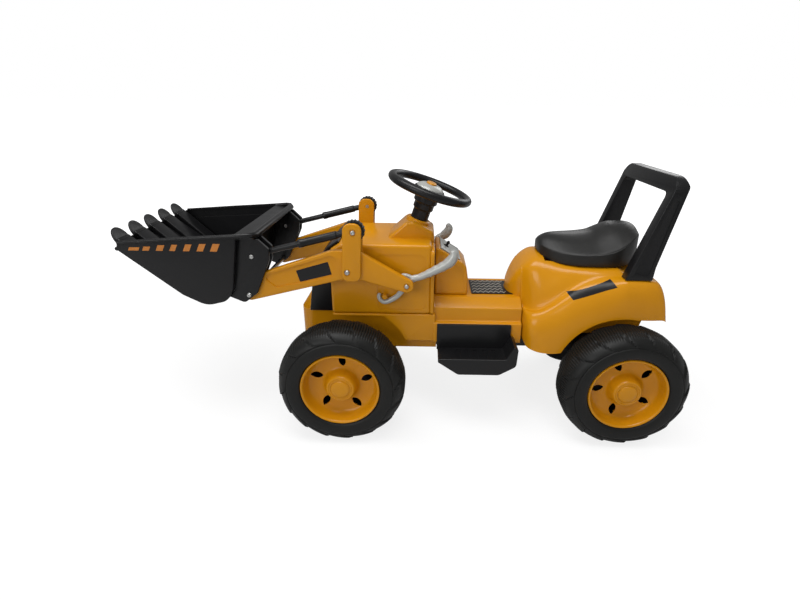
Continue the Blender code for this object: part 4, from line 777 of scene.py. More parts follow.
# %% The cross-sections from front to back: x, top, and half of the section
REAR_STATIONS = (
    (219, 330, (3, 330), (5, 328), (6, 322), (6, 312),
     (6, 303), (6, 295), (6, 287), (6, 278.3)),
    (220.7, 338, (9, 338), (14, 334), (17.9, 322), (17.9, 312),
     (17.9, 303), (17.9, 295), (17.9, 287), (17.9, 278.3)),
    (224, 351, (14, 351), (21, 346), (26, 332), (26.4, 315),
     (26.4, 305), (26.4, 296), (26.4, 287), (26.4, 278.3)),
    (230, 365, (20, 364), (29, 358), (34.5, 341), (35.1, 320),
     (35.1, 306), (35.1, 297), (35.1, 288), (35.1, 278.3)),
    (237, 376, (26, 375), (36, 368), (41, 348), (41.5, 324),
     (41.5, 308), (41.5, 298), (41.5, 288), (41.5, 278.3)),
    (244.4, 382, (31, 381), (41, 373), (45.5, 350), (46, 325),
     (46, 308), (46, 298), (46, 288), (46, 278.3)),
    (244.6, 382, (31, 381), (41, 373), (46, 345), (50, 300),
     (53, 280), (55, 262), (57, 232), (57, 196)),
    (246.5, 382.5, (32, 381.5), (42, 373), (48, 330), (52, 262),
     (60, 262), (72, 256), (80, 230), (72, 200)),
    (249, 384, (33, 383), (44, 372), (50, 330), (56, 258),
     (74, 264), (96, 257), (109, 229), (102, 196)),
    (253, 385, (35, 384), (46, 371), (52, 330), (60, 255),
     (82, 264), (106, 258), (119, 230), (114, 192)),
    (262, 386.5, (38, 385.5), (50, 366), (60, 322), (74, 256),
     (94, 268), (112, 262), (125, 232), (122, 189)),
    (276, 381.5, (42, 380.5), (55, 357), (68, 312), (86, 260),
     (102, 272), (116, 262), (127, 232), (129, 187)),
    (294, 374, (49, 373), (60, 345), (73, 311), (89, 273),
     (104, 281), (117, 268), (128, 236), (131.5, 186)),
    (312, 366, (56, 365), (67, 348), (78, 322), (90.5, 292),
     (104, 294), (118, 278), (129, 243), (132, 187)),
    (333, 360.5, (62, 360), (72, 351), (82, 335), (91.5, 312),
     (104, 311), (118, 295), (129, 256), (132, 192)),
    (355, 357, (67, 356.7), (78, 350), (85, 341), (92, 328),
     (104, 325), (118, 308), (129, 268), (132, 205)),
    (380, 356.7, (70, 356.7), (81, 352.5), (88, 347), (92.5, 339),
     (104, 334), (118, 318), (129, 280), (132, 220)),
    (408, 356.7, (73, 356.7), (82, 353.5), (89, 350), (93, 345),
     (105, 341), (118, 328), (129, 290), (132, 235)),
    (434, 356.7, (74, 356.7), (82, 354), (89, 350), (93.5, 346),
     (106, 346), (119, 346), (129.5, 322), (132, 250)),
    (441, 356.7, (74, 356.7), (82, 354), (89, 350), (93.5, 346),
     (106, 346), (119, 346), (129.5, 322), (132, 262)),
    (446, 346, (74, 346), (82, 346), (89, 346), (93.5, 346),
     (106, 346), (119, 346), (129.5, 322), (132, 266)),
    (491, 346, (74, 346), (82, 346), (89, 346), (93.5, 346),
     (106, 346), (119, 346), (129.5, 322), (132, 266)),
    (505, 343, (72, 343), (80, 343), (88, 343), (93, 343),
     (105, 342.5), (117, 340), (128.5, 316), (131, 266)),
    (514, 335, (70, 335), (78, 335), (86, 335), (92, 335),
     (104, 333.5), (115, 329), (127, 309), (130.5, 266)),
    (520, 324, (69, 324), (77, 324), (85, 324), (91, 323),
     (103, 320), (113, 316), (125, 302), (129.5, 265)),
    (524, 308, (68, 308), (76, 308), (84, 307), (90, 306),
     (102, 303), (112, 300), (123, 290), (128.5, 263)),
    (526.5, 286, (68, 286), (76, 286), (84, 285), (90, 284),
     (101, 283), (110, 281), (120, 277), (127, 261)),
)
print("cross-sections:", len(REAR_STATIONS))

# %% [markdown]
# The crest is the height of the pod's middle line. It rises in one bow up to the saddle's
# nose, and each section in front of the saddle is pressed down to it above its foot.

# %% Smooth the rows and bridge them
POD_CREST = (
    (219, 296), (220.7, 300), (224, 308), (230, 322), (237, 334), (244.4, 344), (246.5, 347),
    (249, 349.5), (253, 353.5), (262, 361), (276, 371), (294, 367.5), (312, 361.5), (333, 358.6),
    (355, 356.7), (520, 356.7),
)
POD_FOOT = 286
POD_SECTIONS = 6


def half_section(x, top, *half):
    """One half section, pressed down to the crest and swelled a little at the flank."""
    crest = read_off(POD_CREST, x)
    share = min((crest - POD_FOOT) / (top - POD_FOOT), 1) if top > crest else 1
    side = [(y, z if z < POD_FOOT else POD_FOOT + (z - POD_FOOT) * share) for y, z in [(0, top), *half]]
    swell = min(ramp(x, 246, 260), ramp(x, 352, 292))
    side[2] = (side[2][0] + 6 * swell, side[2][1] + 3 * swell)
    side[3] = (side[3][0] + 11 * swell, side[3][1] + 4 * swell)
    side[4] = (side[4][0] + 3 * swell, side[4][1])
    return smooth_row([(x, y, z) for y, z in side], 4)


def relaxed(grid, rounds):
    """Rows of points, each inner point drawn towards the middle of its four neighbours."""
    for _ in range(rounds):
        fresh = [list(row) for row in grid]
        for r in range(1, len(grid) - 1):
            for c in range(1, len(grid[r]) - 1):
                middle = (grid[r - 1][c] + grid[r + 1][c] + grid[r][c - 1] + grid[r][c + 1]) / 4
                fresh[r][c] = (grid[r][c] + middle) / 2
            fresh[r][0].z = (grid[r][0].z + grid[r][1].z) / 2
        grid = fresh
    return grid


def rear_skin():
    sections = [half_section(*station) for station in REAR_STATIONS]
    rows = relaxed(smooth_sections(sections[:POD_SECTIONS], 3), 4)
    rows += relaxed(smooth_sections(sections[POD_SECTIONS:], 3), 14)
    return skinned([row + [Vector((p.x, -p.y, p.z)) for p in row[:0:-1]] for row in rows])


def make_rear_body():
    base = [(262, 203), (262, 236), (400, 300), (511, 300), (515, 262), (500, 203)]
    ear = rounded([(477, 332, 0), (477, 356, 5), (491, 356, 5), (491, 330, 0)])
    arch = arc((AXLE_X["rear"], AXLE_Z), 138, 0, 355, 71)
    welded = [plate(base, -69, 69)]
    welded += [plate(ear, side * 14.3, side * 22, "Y", 0.6, 2) for side in SIDES.values()]
    bm = worked(rear_skin(), welded, "UNION")
    rooms = [plate(arch, side * 84, side * 150) for side in SIDES.values()]
    rooms += [
        block((200, -54, 100), (560, 54, CHANNEL_TOP + 0.3)), block((380, -54, 150), (500, 54, 250)),
        block((264, -54, 150), (346, 54, 300)), block((290, -48, 290), (410, 48, 400)),
        crossbar(SADDLE_PIN, -40, 40, SADDLE_HOLE),
    ]
    finished(worked(bm, rooms), "rear_moulding", yellow, "chassis", "rear_body", angle=42)


make_rear_body()

# %% [markdown]
# A plain black strip lies on each fender. It is cut out of the fender's own skin by the
# four sides of the strip, so it follows the curved surface exactly, and is then lifted off
# it by the thickness of a foil.

# %% The plain strips on the fenders
STRIP_CORNERS = [(329, 311), (412, 343), (421, 332), (338, 301)]
STRIP_MIDDLE = Vector((375, 0, 321.8))
STRIP_LIFT, STRIP_THICK = 0.35, 0.3
FENDER_INSIDE = 0.094


def make_strips():
    bm = rear_skin()
    for index, (x, z) in enumerate(STRIP_CORNERS):
        ahead = STRIP_CORNERS[(index + 1) % 4]
        normal = Vector((ahead[0] - x, 0, ahead[1] - z)).cross(ACROSS)
        if normal.dot(Vector((x, 0, z)) - STRIP_MIDDLE) < 0:
            normal = -normal
        bmesh.ops.bisect_plane(
            bm, geom=bm.verts[:] + bm.edges[:] + bm.faces[:], plane_co=Vector((x, 0, z)) * MM,
            plane_no=normal, clear_outer=True,
        )
    bm.normal_update()
    spare = [f for f in bm.faces if abs(f.calc_center_median().y) < FENDER_INSIDE or f.normal.z < 0.05]
    bmesh.ops.delete(bm, geom=spare, context="FACES")
    bm.normal_update()
    for vert in bm.verts:
        vert.co += vert.normal * STRIP_LIFT * MM
    bmesh.ops.solidify(bm, geom=bm.faces[:], thickness=STRIP_THICK * MM)
    finished(bm, "fender_strips", black, "chassis", slot=slots["seat"], angle=50)


make_strips()

# %% [markdown]
# The saddle is one black moulding with a broad, gently domed top, a crisp rim and a
# smooth side wall. It is drawn in sections too. The rim is held by two close rows of
# points, which keep the edge tight where a single row would round it away.

# %% The saddle, from sections of x, half width, bottom, rim and middle
SEAT_STATIONS = (
    (281, 12, 373.5, 386, 388), (284, 24, 371, 389, 399), (292, 37, 364.5, 388, 405),
    (306, 51, 359.8, 385, 410), (330, 66, 357.6, 383, 412), (362, 76, 357.4, 383, 413.5),
    (392, 79.5, 357.4, 385, 418), (411, 80, 357.4, 388, 427), (429, 78, 357.4, 393, 435),
    (446, 73, 357.4, 401, 437.6), (468, 60, 358, 414, 437.6), (482, 44, 360, 420, 434),
    (488, 32, 362, 417, 427),
)


def make_seat():
    sections = []
    for x, width, bottom, edge, middle in SEAT_STATIONS:
        high = edge - bottom
        dome = middle - edge
        half = [
            (0, bottom), (width * 0.5, bottom), (width * 0.88, bottom + 0.5),
            (width * 0.94, bottom + high * 0.12), (width * 0.965, bottom + high * 0.5),
            (width * 0.965, edge - 2.4), (width * 0.958, edge - 0.6), (width * 0.945, edge + 0.4),
            (width * 0.915, edge + 0.08 * dome), (width * 0.75, edge + 0.34 * dome),
            (width * 0.5, edge + 0.7 * dome), (width * 0.22, edge + 0.95 * dome), (0, middle),
        ]
        row = smooth_row([(x, y, z) for y, z in half], 3)
        sections.append(row + [Vector((p.x, -p.y, p.z)) for p in row[-2:0:-1]])
    bm = skinned(smooth_sections(sections, 5))
    lug = plate(rounded([(478, 348, 4), (478, 375, 0), (488, 375, 0), (490, 348, 4)]), -14, 14)
    bm = worked(bm, [lug], "UNION")
    bm = worked(bm, [crossbar(SADDLE_PIN, -20, 20, SADDLE_HOLE)])
    # The saddle's black is lightened as painted light of its lit top.
    finished(bm, "saddle", seat_lit_black, "seat", "seat", angle=50)


make_seat()

# %% [markdown]
# Behind the saddle a broad bar stands up: two leaning posts and a cross piece with round
# corners, with the outer faces of the posts sunk a little so that a border is left. It is
# cut from one side profile by a front view.

# %% The bar behind the saddle
def make_backrest():
    side_view = rounded([
        (435, 346.3, 0), (446, 377, 14), (496, 525, 14), (504, 550, 7), (519, 554.5, 7), (526, 535, 12),
        (491, 373, 12), (489, 346.3, 0),
    ])
    front_view = rounded([(-118.5, 330, 0), (-118.5, 552, 34), (118.5, 552, 34), (118.5, 330, 0)], 10)
    gap = rounded([(-96, 330, 0), (-96, 521, 10), (96, 521, 10), (96, 330, 0)], 8)
    panel = rounded([(450, 362, 2), (497, 508, 5), (511, 512, 5), (482, 372, 4), (478, 356, 3)], 4)
    bm = plate(side_view, -118, 118, "Y", 2.6, 4, 35)
    bm = worked(bm, [plate(front_view, 400, 560, "X")], "INTERSECT")
    cuts = [plate(gap, 380, 580, "X")]
    cuts += [plate(panel, side * 116.6, side * 125) for side in SIDES.values()]
    bm = worked(bm, cuts)
    soften(bm, 0.9, 2, 60)
    finished(bm, "backrest", black, "chassis", "backrest_bar", angle=40)


make_backrest()

# %% [markdown]
# ## The front body
# The hood is a box-like shell with soft edges, and the steering pod grows out of its
# back. The lower body carries the nose, the front bay and the step beam. They are drawn
# as outlines with generous round rims and welded where the real moulding is one piece.

# %% The hood with its pod, its flange and the ears of the uprights
UPRIGHT = rounded([(-128, 339, 13), (-122.5, 457.5, 15), (-86, 457.5, 15), (-91, 339, 13)], 10)


def make_hood():
    outline = rounded([(-160, 250.3, 0), (-160, 390, 12), (-138, 405, 18), (50, 405, 0), (50, 250.3, 0)], 8)
    shell = plate(outline, -88, 88, "Y", 7, 5)
    pod = plate(rounded([
        (-50, 398, 0), (-6, 438, 12), (12, 440, 12), (54, 418, 0), (56, 395, 0), (40, 380, 0), (-30, 380, 0)
    ], 8), -41.5, 41.5, "Y", 6, 5, 40)
    flange = plate(rounded([
        (-90, 253, 0), (-90, 396, 16), (90, 396, 16), (90, 253, 0)
    ], 8), 48, 56, "X", 2.2, 4)
    seat = on_column(COLLAR_Z)
    collar = turned([
        (0, -16), (26.5, -16), (26.5, 6.5), (25.8, 8.6), (23.6, 9.6), (0, 9.6)
    ], seat, LEAN, 64)
    foot = rounded([(-126, 342, 8), (-126, 394, 8), (-88, 394, 8), (-88, 342, 8)])
    welded = [pod, flange, collar]
    for side in SIDES.values():
        welded.append(plate(foot, side * HOOD_SIDE, side * 100))
        welded.append(layer(UPRIGHT, side, INNER_PLATE, 1.5))
        welded.append(crossbar((-46, 296), side * HOOD_SIDE, side * 103.4, 5.5, 32, 1.6))
    bm = worked(shell, welded, "UNION")
    inner = inset([(-160, 250.3), (-160, 390), (-138, 405), (50, 405), (50, 250.3)], 5.2)
    inner = [(x, 240 if z < 258 else z) for x, z in inner]
    panel = rounded([(-62, 262, 10), (-62, 384, 10), (38, 384, 14), (38, 262, 10)], 8)
    cuts = [
        plate(inner, -82.6, 82.6), crossbar(ARM_PIVOT, -112, 112, SHAFT_HOLE),
        bar(seat - LEAN * 60, seat + LEAN * 20, 6, 24), bar(seat, seat + LEAN * 40, 19.5, 48),
        crossbar(LINK_BACK, -112, 112, BOLT_HOLE),
    ]
    cuts += [plate(panel, side * 87, side * 96) for side in SIDES.values()]
    finished(worked(bm, cuts), "hood_cover", yellow, "chassis", "hood", angle=32)


make_hood()

# %% The lower body: nose, front bay and step beam
def make_lower_body():
    nose = rounded([(-234, -64, 26), (-234, 64, 26), (-154, 64, 0), (-154, -64, 0)], 10)
    shoulder = rounded([(-160, -88, 10), (-160, 88, 10), (60, 88, 0), (60, -88, 0)], 6)
    skirt = [(-158, 158), (63.5, 158), (63.5, 196), (-158, 196)]
    half = [(54, 278, 3), (79, 262, 5), (79, 233, 3), (90, 231, 3), (90, 187, 0)]
    section = rounded(half + [(-y, z, radius) for y, z, radius in reversed(half)], 4)
    welded = [plate(shoulder, 187, 250, "Z", 2.4, 4), plate(section, 56.3, 244.3, "X")]
    welded += [plate(skirt, side * 56, side * 63.2) for side in SIDES.values()]
    bm = worked(plate(nose, 118, 250, "Z", 3, 4), welded, "UNION")
    arch = [(x, min(z, 246)) for x, z in arc((AXLE_X["front"], AXLE_Z), 141, 0, 355, 71)]
    cuts = [plate(arch, side * 64, side * 140) for side in SIDES.values()]
    for low, high, roof in ((-228, -4, 246), (4, 124, 246), (132, 240, 274)):
        cuts.append(block((low, -54, 100), (high, 54, roof)))
    cuts.append(block((-228, -54, 100), (260, 54, CHANNEL_TOP + 0.3)))
    cuts.append(block((-62, -18, 240), (-24, 18, 260)))
    finished(worked(bm, cuts), "lower_moulding", yellow, "chassis", "lower_body", angle=32)


make_lower_body()

# %% [markdown]
# The black block in the nose is the toy's make-believe radiator: slats across its front,
# and narrow grooves down its sloping top.

# %% The radiator
GRILLE_FOOT = (-210, 250.3)
GRILLE_LEAN = 9 / 63


def make_grille():
    outline = rounded([
        (*GRILLE_FOOT, 0), (-201, 313, 6), (-183, 372, 8), (-163, 395, 6), (-143, 409, 2),
        (-140, 404.4, 0), (-160.3, 390.6, 0), (-160.3, 250.3, 0),
    ], 6)
    cuts = []
    for index in range(4):
        z = 264 + 13 * index
        x = GRILLE_FOOT[0] + (z + 3 - GRILLE_FOOT[1]) * GRILLE_LEAN
        slot = rounded([(x - 9, z, 0), (x + 5, z, 2), (x + 5, z + 6, 2), (x - 9, z + 6, 0)])
        cuts.append(plate(slot, -62, 62))
    groove = [(-187.8, 335.8), (-175.8, 370.8), (-158.8, 391.8), (-165, 400), (-192, 376), (-205, 337)]
    for index in range(9):
        y = (index - 4) * 14
        cuts.append(plate(groove, y - 2.6, y + 2.6))
    bm = worked(plate(outline, -76, 76, "Y", 2.4, 4), cuts)
    finished(bm, "radiator", black, "chassis", "grille")


make_grille()

# %% [markdown]
# Behind the hood the dash is a second, narrower block. Its side face is sunk a little
# inside a thick border, a plain grey plate lies on its slope, and a small black switch
# stands in that plate.

# %% The dash and its grey plate
DASH_TOP = Vector((66, 0, 384))
DASH_SLOPE = (Vector((116, 0, 353)) - DASH_TOP).normalized()
DASH_NORMAL = Vector((-DASH_SLOPE.z, 0, DASH_SLOPE.x))
SWITCH_PLACE = DASH_TOP + DASH_SLOPE * 18
SWITCH_HINGE = (SWITCH_PLACE - DASH_NORMAL * 5).xz


def on_slope(along, above):
    place = DASH_TOP + DASH_SLOPE * along + DASH_NORMAL * above
    return (place.x, place.z)


def along_slope(near, far, low, high):
    return [on_slope(near, low), on_slope(far, low), on_slope(far, high), on_slope(near, high)]


def switch_hole():
    return bar(SWITCH_PLACE - DASH_NORMAL * 12, SWITCH_PLACE + DASH_NORMAL * 8, 7.4, 32)


def make_dash():
    outline = rounded([
        (58.3, 278.3, 0), (58.3, 384, 0), (66, 384, 6), (116, 353, 8), (126, 341, 6), (130, 316, 8),
        (130, 278.3, 0),
    ], 8)
    panel = rounded([(66, 287, 6), (66, 368, 6), (108, 344, 10), (119, 332, 6), (122, 287, 6)], 6)
    cuts = [switch_hole(), crossbar(SWITCH_HINGE, -10.5, 10.5, 1.95, 16)]
    cuts += [plate(panel, side * 44, side * 50) for side in SIDES.values()]
    bm = worked(plate(outline, -45, 45, "Y", 4, 4), cuts)
    finished(bm, "dash", yellow, "chassis", "dash_console")
    sheet = plate(along_slope(3, 53, 0.3, 3), -38, 38, "Y", 0.9)
    well = plate(along_slope(28, 50, 2.1, 6), -34, 34)
    finished(worked(sheet, [well, switch_hole()]), "dash_plate", grey, "chassis", "dash_panel")


def make_switch():
    profile = [
        (0, -8), (5.2, -8), (5.6, -7.4), (5.6, 0.4), (5.2, 1.1), (4.4, 1.4), (3.8, 1.6), (3.4, 2.4),
        (2.9, 6), (2.9, 8), (3.3, 10.4), (3.4, 12.4), (2.9, 14), (1.8, 14.9), (0, 15.2),
    ]
    knob = turned(profile, SWITCH_PLACE, DASH_NORMAL, 24)
    pin = crossbar(SWITCH_HINGE, -10, 10, 1.6, 12)
    finished(worked(knob, [pin], "UNION"), "switch_knob", black, "direction_switch", "direction_switch")


make_dash()
make_switch()

# %% The grip plate on the beam, with its raised waves
def make_step_plate():
    back = arc((263, -6), 45.2, -135, -180, 10) + arc((263, 6), 45.2, 180, 135, 10)
    outline = [(140, back[0].y), *back, (140, back[-1].y)]
    finished(plate(outline, 278.3, 280.1, "Z"), "grip_plate", black, "chassis", "step_plate")
    waves = []
    for row in range(5):
        y = (row - 2) * 15
        turns = 13 if abs(y) < 20 else 14
        middle = [(143.5 + step * 5.7, y + 4.2 * (1 if step % 2 else -1)) for step in range(turns)]
        ribbon = [(a, b + 1.5) for a, b in middle] + [(a, b - 1.5) for a, b in reversed(middle)]
        waves.append(plate(ribbon, 279.9, 280.9, "Z", 0.25, 1))
    finished(gathered(waves), "grip_waves", pale_wave_grey, "chassis", slot=slots["step_plate"])


make_step_plate()

# %% [markdown]
# Each side of the beam carries one black moulding: a flat panel with the foot tray below
# it. The left tray is grooved, and the right one holds the two lugs of the pedal's pin.

# %% Panels, trays and the pedal
def make_footrest(name, side):
    face = side * 90.3
    tray = plate(rounded([
        (66, 176, 0), (66, 168, 3), (108, 139, 14), (194, 139, 18), (229, 160, 12), (231, 200, 5),
        (222, 206, 2), (206, 176, 6),
    ], 8), face, side * 144, "Y", 3, 4)
    panel = rounded([(64, 171, 2), (222, 170, 2), (222, 231, 2), (64, 231, 2)])
    parts = [plate(panel, face, side * 96, "Y", 1.2)]
    if side > 0:
        lug = rounded([(148, 170, 0), (148, 185, 5), (160, 185, 5), (160, 170, 0)])
        parts += [plate(lug, 91.7, 100.7, "Y", 0.5, 2), plate(lug, 136.3, 140.8, "Y", 0.5, 2)]
        cuts = [crossbar(PEDAL_PIN, 96.5, 145.5, 2.35, 20)]
    else:
        cuts = []
        for x in range(104, 181, 19):
            groove = rounded([(x, -104, 2), (x + 9, -104, 2), (x + 9, -137, 2), (x, -137, 2)], 3)
            cuts.append(plate(groove, 174.8, 190, "Z"))
    bm = worked(worked(tray, parts, "UNION"), cuts)
    finished(bm, f"tray_{name}", black, "chassis", f"footrest_{name}")


def make_pedal():
    outline = rounded([(90, 193, 1), (156, 177.5, 2), (156, 182.5, 2), (90, 198, 1)])
    bm = worked(plate(outline, 101, 136, "Y", 1), [crossbar(PEDAL_PIN, 97.5, 139.5, 2, 16)], "UNION")
    grooves = []
    for index in range(6):
        x = 98 + index * 9
        z = 198 - (x - 90) * 15.5 / 66
        grooves.append(plate([(x, z - 1.0), (x + 4, z - 1.9), (x + 5, z + 3), (x + 1, z + 4)], 105, 132))
    finished(worked(bm, grooves), "pedal_pad", black, "pedal", "pedal")


for side_name, side_sign in SIDES.items():
    make_footrest(side_name, side_sign)
make_pedal()

# %% The steel channel under the body, with its lower corners rolled round
def make_underframe():
    outline = [
        (-224, 157.3), (402, 157.3), (424, 115), (468, 115), (490, 160), (517, 160), (517, CHANNEL_TOP),
        (-224, CHANNEL_TOP),
    ]
    section = rounded([(-52, 115, 0), (-52, CHANNEL_TOP, 1.5), (52, CHANNEL_TOP, 1.5), (52, 115, 0)], 4)
    bm = worked(plate(outline, -52, 52), [plate(section, -230, 524, "X")], "INTERSECT")
    cross = on_column(CHANNEL_TOP)
    bm = worked(bm, [
        block((-230, -46, 90), (520, 46, 172)), crossbar((AXLE_X["rear"], AXLE_Z), -70, 70, SHAFT_HOLE),
        bar(cross - LEAN * 20, cross + LEAN * 20, 7, 24),
    ])
    soften(bm, 1.4, 2, 60)
    finished(bm, "channel", painted, "chassis", "underframe")


make_underframe()

# %% [markdown]
# ## The loader
# Two dog-leg arms swing between the inner and outer plates of the uprights. Their front
# half is sunk inside a raised border, and a plain black strip lies in it. Small screws
# with a dimple hold every joint.

# %% Screws and shafts with dimpled heads
def head_profile(outside, inside, radius):
    return [
        (0, outside + 0.9), (1.5, outside + 0.9), (1.9, outside + 1.8), (2.8, outside + 2.1),
        (3.7, outside + 1.8), (4.3, outside + 1), (4.5, outside), (radius, outside - 0.4), (radius, inside),
        (0, inside),
    ]


def make_screw(name, place, side, inside, outside, body):
    bm = turned(head_profile(outside, inside, 4), (place[0], 0, place[1]), (0, side, 0), 28)
    finished(bm, f"{name}_screw", zinc, body, name, angle=40)


def make_shaft(name, place, reach, body):
    half = head_profile(reach, 0, 5)[:-2]
    profile = half + [(radius, -height) for radius, height in reversed(half)]
    bm = turned(profile, (place[0], 0, place[1]), (0, 1, 0), 28)
    finished(bm, f"{name}_pin", zinc, body, name, angle=40)


make_shaft("boom_shaft", ARM_PIVOT, HEAD_SEAT, "chassis")
make_shaft("bucket_shaft", ARM_TIP, HEAD_SEAT, "boom")
for side_name, side_sign in SIDES.items():
    make_screw(f"rod_bolt_{side_name}", LINK_BACK, side_sign, INNER_PLATE[0], HEAD_SEAT, "chassis")
    make_screw(f"lever_bolt_{side_name}", ARM_TAIL, side_sign, 89, OUTER_PLATE[0], "boom")
    make_screw(f"link_bolt_{side_name}", LINK_FRONT, side_sign, INNER_PLATE[0], HEAD_SEAT, "bucket")


# %% Outer plates of the uprights
def make_upright(name, side):
    bm = layer(UPRIGHT, side, OUTER_PLATE, 2.2, 4)
    holes = []
    for place, radius in ((ARM_PIVOT, SHAFT_HOLE), (LINK_BACK, BOLT_HOLE)):
        holes.append(crossbar(place, side * 114, side * 132, radius, 28))
        holes.append(crossbar(place, side * 125.8, side * 132, HEAD_HOLE, 36))
    finished(worked(bm, holes), f"plate_{name}", yellow, "chassis", f"upright_{name}", angle=32)


# %% Arms with their sunk panel and plain strip
ARM = rounded(
    [(p.x, p.y, 0) for p in arc(ARM_TIP, 15, 150, 275, 14)] + [(-131, 339, 16), (-93, 340, 16)]
    + [(p.x, p.y, 0) for p in arc(ARM_TAIL, 14, -115, 60, 18)]
    + [(-91, 397, 16), (-128, 401, 10), (-150, 400, 20), (-286, 353, 16)], 8
)
ARM_PANEL = rounded([
    (-262, 322, 5), (-284, 340, 6), (-272, 350, 5), (-150, 390, 6), (-138, 382, 6), (-146, 347, 6)
], 8)
ARM_STRIP = rounded([(-220.5, 357.5, 1), (-214, 333.5, 1), (-149.5, 350.5, 1), (-156, 377, 1)], 3)
PANEL_FLOOR = 116.4


def make_arm(name, side):
    bm = layer(ARM, side, ARM_LAYER, 2.6, 4, 45)
    cuts = [
        plate(ARM_PANEL, side * PANEL_FLOOR, side * 126),
        plate(inset(ARM_PANEL, -1.1), side * 118.2, side * 126),
    ]
    for place, radius in ((ARM_TIP, SHAFT_HOLE), (ARM_PIVOT, SHAFT_HOLE), (ARM_TAIL, BOLT_HOLE)):
        cuts.append(crossbar(place, side * 100, side * 124, radius, 28))
    cuts.append(crossbar(ARM_TAIL, side * 117.8, side * 124, HEAD_HOLE, 36))
    finished(worked(bm, cuts), f"loader_arm_{name}", yellow, "boom", f"arm_{name}", angle=32)
    bm = plate(ARM_STRIP, side * PANEL_FLOOR, side * 117.1, "Y", 0.2, 1)
    finished(bm, f"arm_strip_{name}", black, "boom", slot=slots["bucket"], angle=40)


# %% [markdown]
# Above each arm runs a thinner rod in two parts, a bar that slides in a sleeve, so that
# the bucket stays level while the arms rise. The drum at its back end is ribbed round its
# rim like a bottle cap.

# %% Rods
ROD_Y = 112.15
ROD_HALF = 6.55
DRUM_RADIUS, DRUM_RIBS = 21.3, 18


def make_rod(name, side):
    y = side * ROD_Y
    back = Vector((LINK_BACK[0], y, LINK_BACK[1]))
    front = Vector((LINK_FRONT[0], y, LINK_FRONT[1]))
    along = (back - front).normalized()
    joint = front + along * (back - front).length * 0.45
    thin_length = (joint - front).length + 25
    ring = []
    for step in range(DRUM_RIBS * 8):
        angle = math.tau * step / (DRUM_RIBS * 8)
        radius = DRUM_RADIUS + 0.65 * math.tanh(2.5 * math.cos(DRUM_RIBS * angle))
        ring.append((LINK_BACK[0] + radius * math.cos(angle), LINK_BACK[1] + radius * math.sin(angle)))
    drum = plate(ring, y - ROD_HALF, y + ROD_HALF, "Y", 0.9, 2, 60)
    tube = turned([
        (0, 0), (6.9, 0), (8.2, 0.6), (8.6, 1.8), (8.6, 9), (8.0, 10), (8.0, 78), (6.5, 80), (6.5, 110),
        (0, 110),
    ], joint, along, 32)
    bm = worked(drum, [tube], "UNION")
    room = bar(joint - along * 5, joint + along * 30, 6.3, 24)
    bm = worked(bm, [crossbar(LINK_BACK, y - 12, y + 12, BOLT_HOLE), room])
    finished(bm, f"sleeve_{name}", black, f"rod_{name}", f"rod_sleeve_{name}")
    eye = crossbar(LINK_FRONT, y - ROD_HALF, y + ROD_HALF, 11, 40, 1.2)
    thin = turned([(0, 0), (6, 0), (6, thin_length), (0, thin_length)], front, along, 28)
    bm = worked(eye, [thin], "UNION")
    bm = worked(bm, [crossbar(LINK_FRONT, y - 12, y + 12, BOLT_HOLE)])
    finished(bm, f"sliding_bar_{name}", black, f"rod_{name}", f"rod_inner_{name}")


# %% [markdown]
# The silver hand lever is one curved form: a flat hook that holds the peg of the hood, a
# waist with a short prong beside it, and a grip that swells for the hand and carries
# bumps for the fingers. It is a row of ovals carried along its middle line.

# %% Levers
LEVER = [
    (-57.3, 301.5, 3.6), (-58.2, 295, 4.3), (-55, 287.5, 4.5), (-48, 283.2, 4.8), (-40, 284.5, 5),
    (-31, 289, 5.2), (-20, 297, 5.4), (-9, 311, 6), (0, 327, 7), (12, 335.5, 7), (26, 340, 7),
    (42, 348, 8), (58, 357, 9), (74, 366, 10), (87, 376, 11), (93, 388, 9.5), (91, 398, 6),
]
PRONG = [(12, 337, 5, 5), (5, 340, 5.4, 4.6), (-2, 343, 4.6, 4), (-8, 344.5, 3.4, 3), (-11, 344.8, 1.6, 1.4)]
LEVER_Y = 96.8


def make_lever(name, side):
    route = []
    for x, z, radius in LEVER:
        route.append((x, side * (LEVER_Y + 4.2 * ramp(x, 20, 60)), z, radius, radius))
    shaped = []
    for x, y, z, wide, high in smooth_row(route, 6):
        grip = ramp(x, 24, 34) * ramp(x, 90, 80) * (z > 330)
        bump = 0.55 * grip * math.cos(math.tau * (x - 32) / 13)
        shaped.append((x, y, z, wide, high + bump - 0.2 * grip))
    (ax, ay, az, aw, ah), (bx, by, bz, bw, bh) = shaped[0], shaped[-1]
    for share in (0.75, 0.35):
        step = (1 - share) * ah
        shaped.insert(0, (ax + 0.1 * step, ay, az + step * 0.7, aw * share, ah * share))
        step = (1 - share) * bh
        shaped.append((bx - 0.2 * step, by, bz + step * 0.6, bw * share, bh * share))
    prong = swept([(x, side * LEVER_Y, z, wide, high) for x, z, wide, high in PRONG])
    boss = crossbar(ARM_TAIL, side * 89, side * 104.7, 11, 40, 1.2)
    bm = worked(swept(shaped, sides=28), [prong, boss], "UNION")
    bm = worked(bm, [crossbar(ARM_TAIL, side * 83, side * 110, BOLT_HOLE)])
    finished(bm, f"hand_lever_{name}", silver, f"lever_{name}", f"lever_{name}", angle=50)


for side_name, side_sign in SIDES.items():
    make_upright(side_name, side_sign)
    make_arm(side_name, side_sign)
    make_rod(side_name, side_sign)
    make_lever(side_name, side_sign)

# %% [markdown]
# ## The bucket
# The bucket is a thin black shell: two flat cheeks and one sheet that runs from the lip
# down the sloping floor, round the bottom and up the back. Its rim is rolled over into a
# bead, five round tongues stand up from the lip, and each tongue goes on as a rib down
# the floor. Orange dashes lie on both cheeks below the bead.

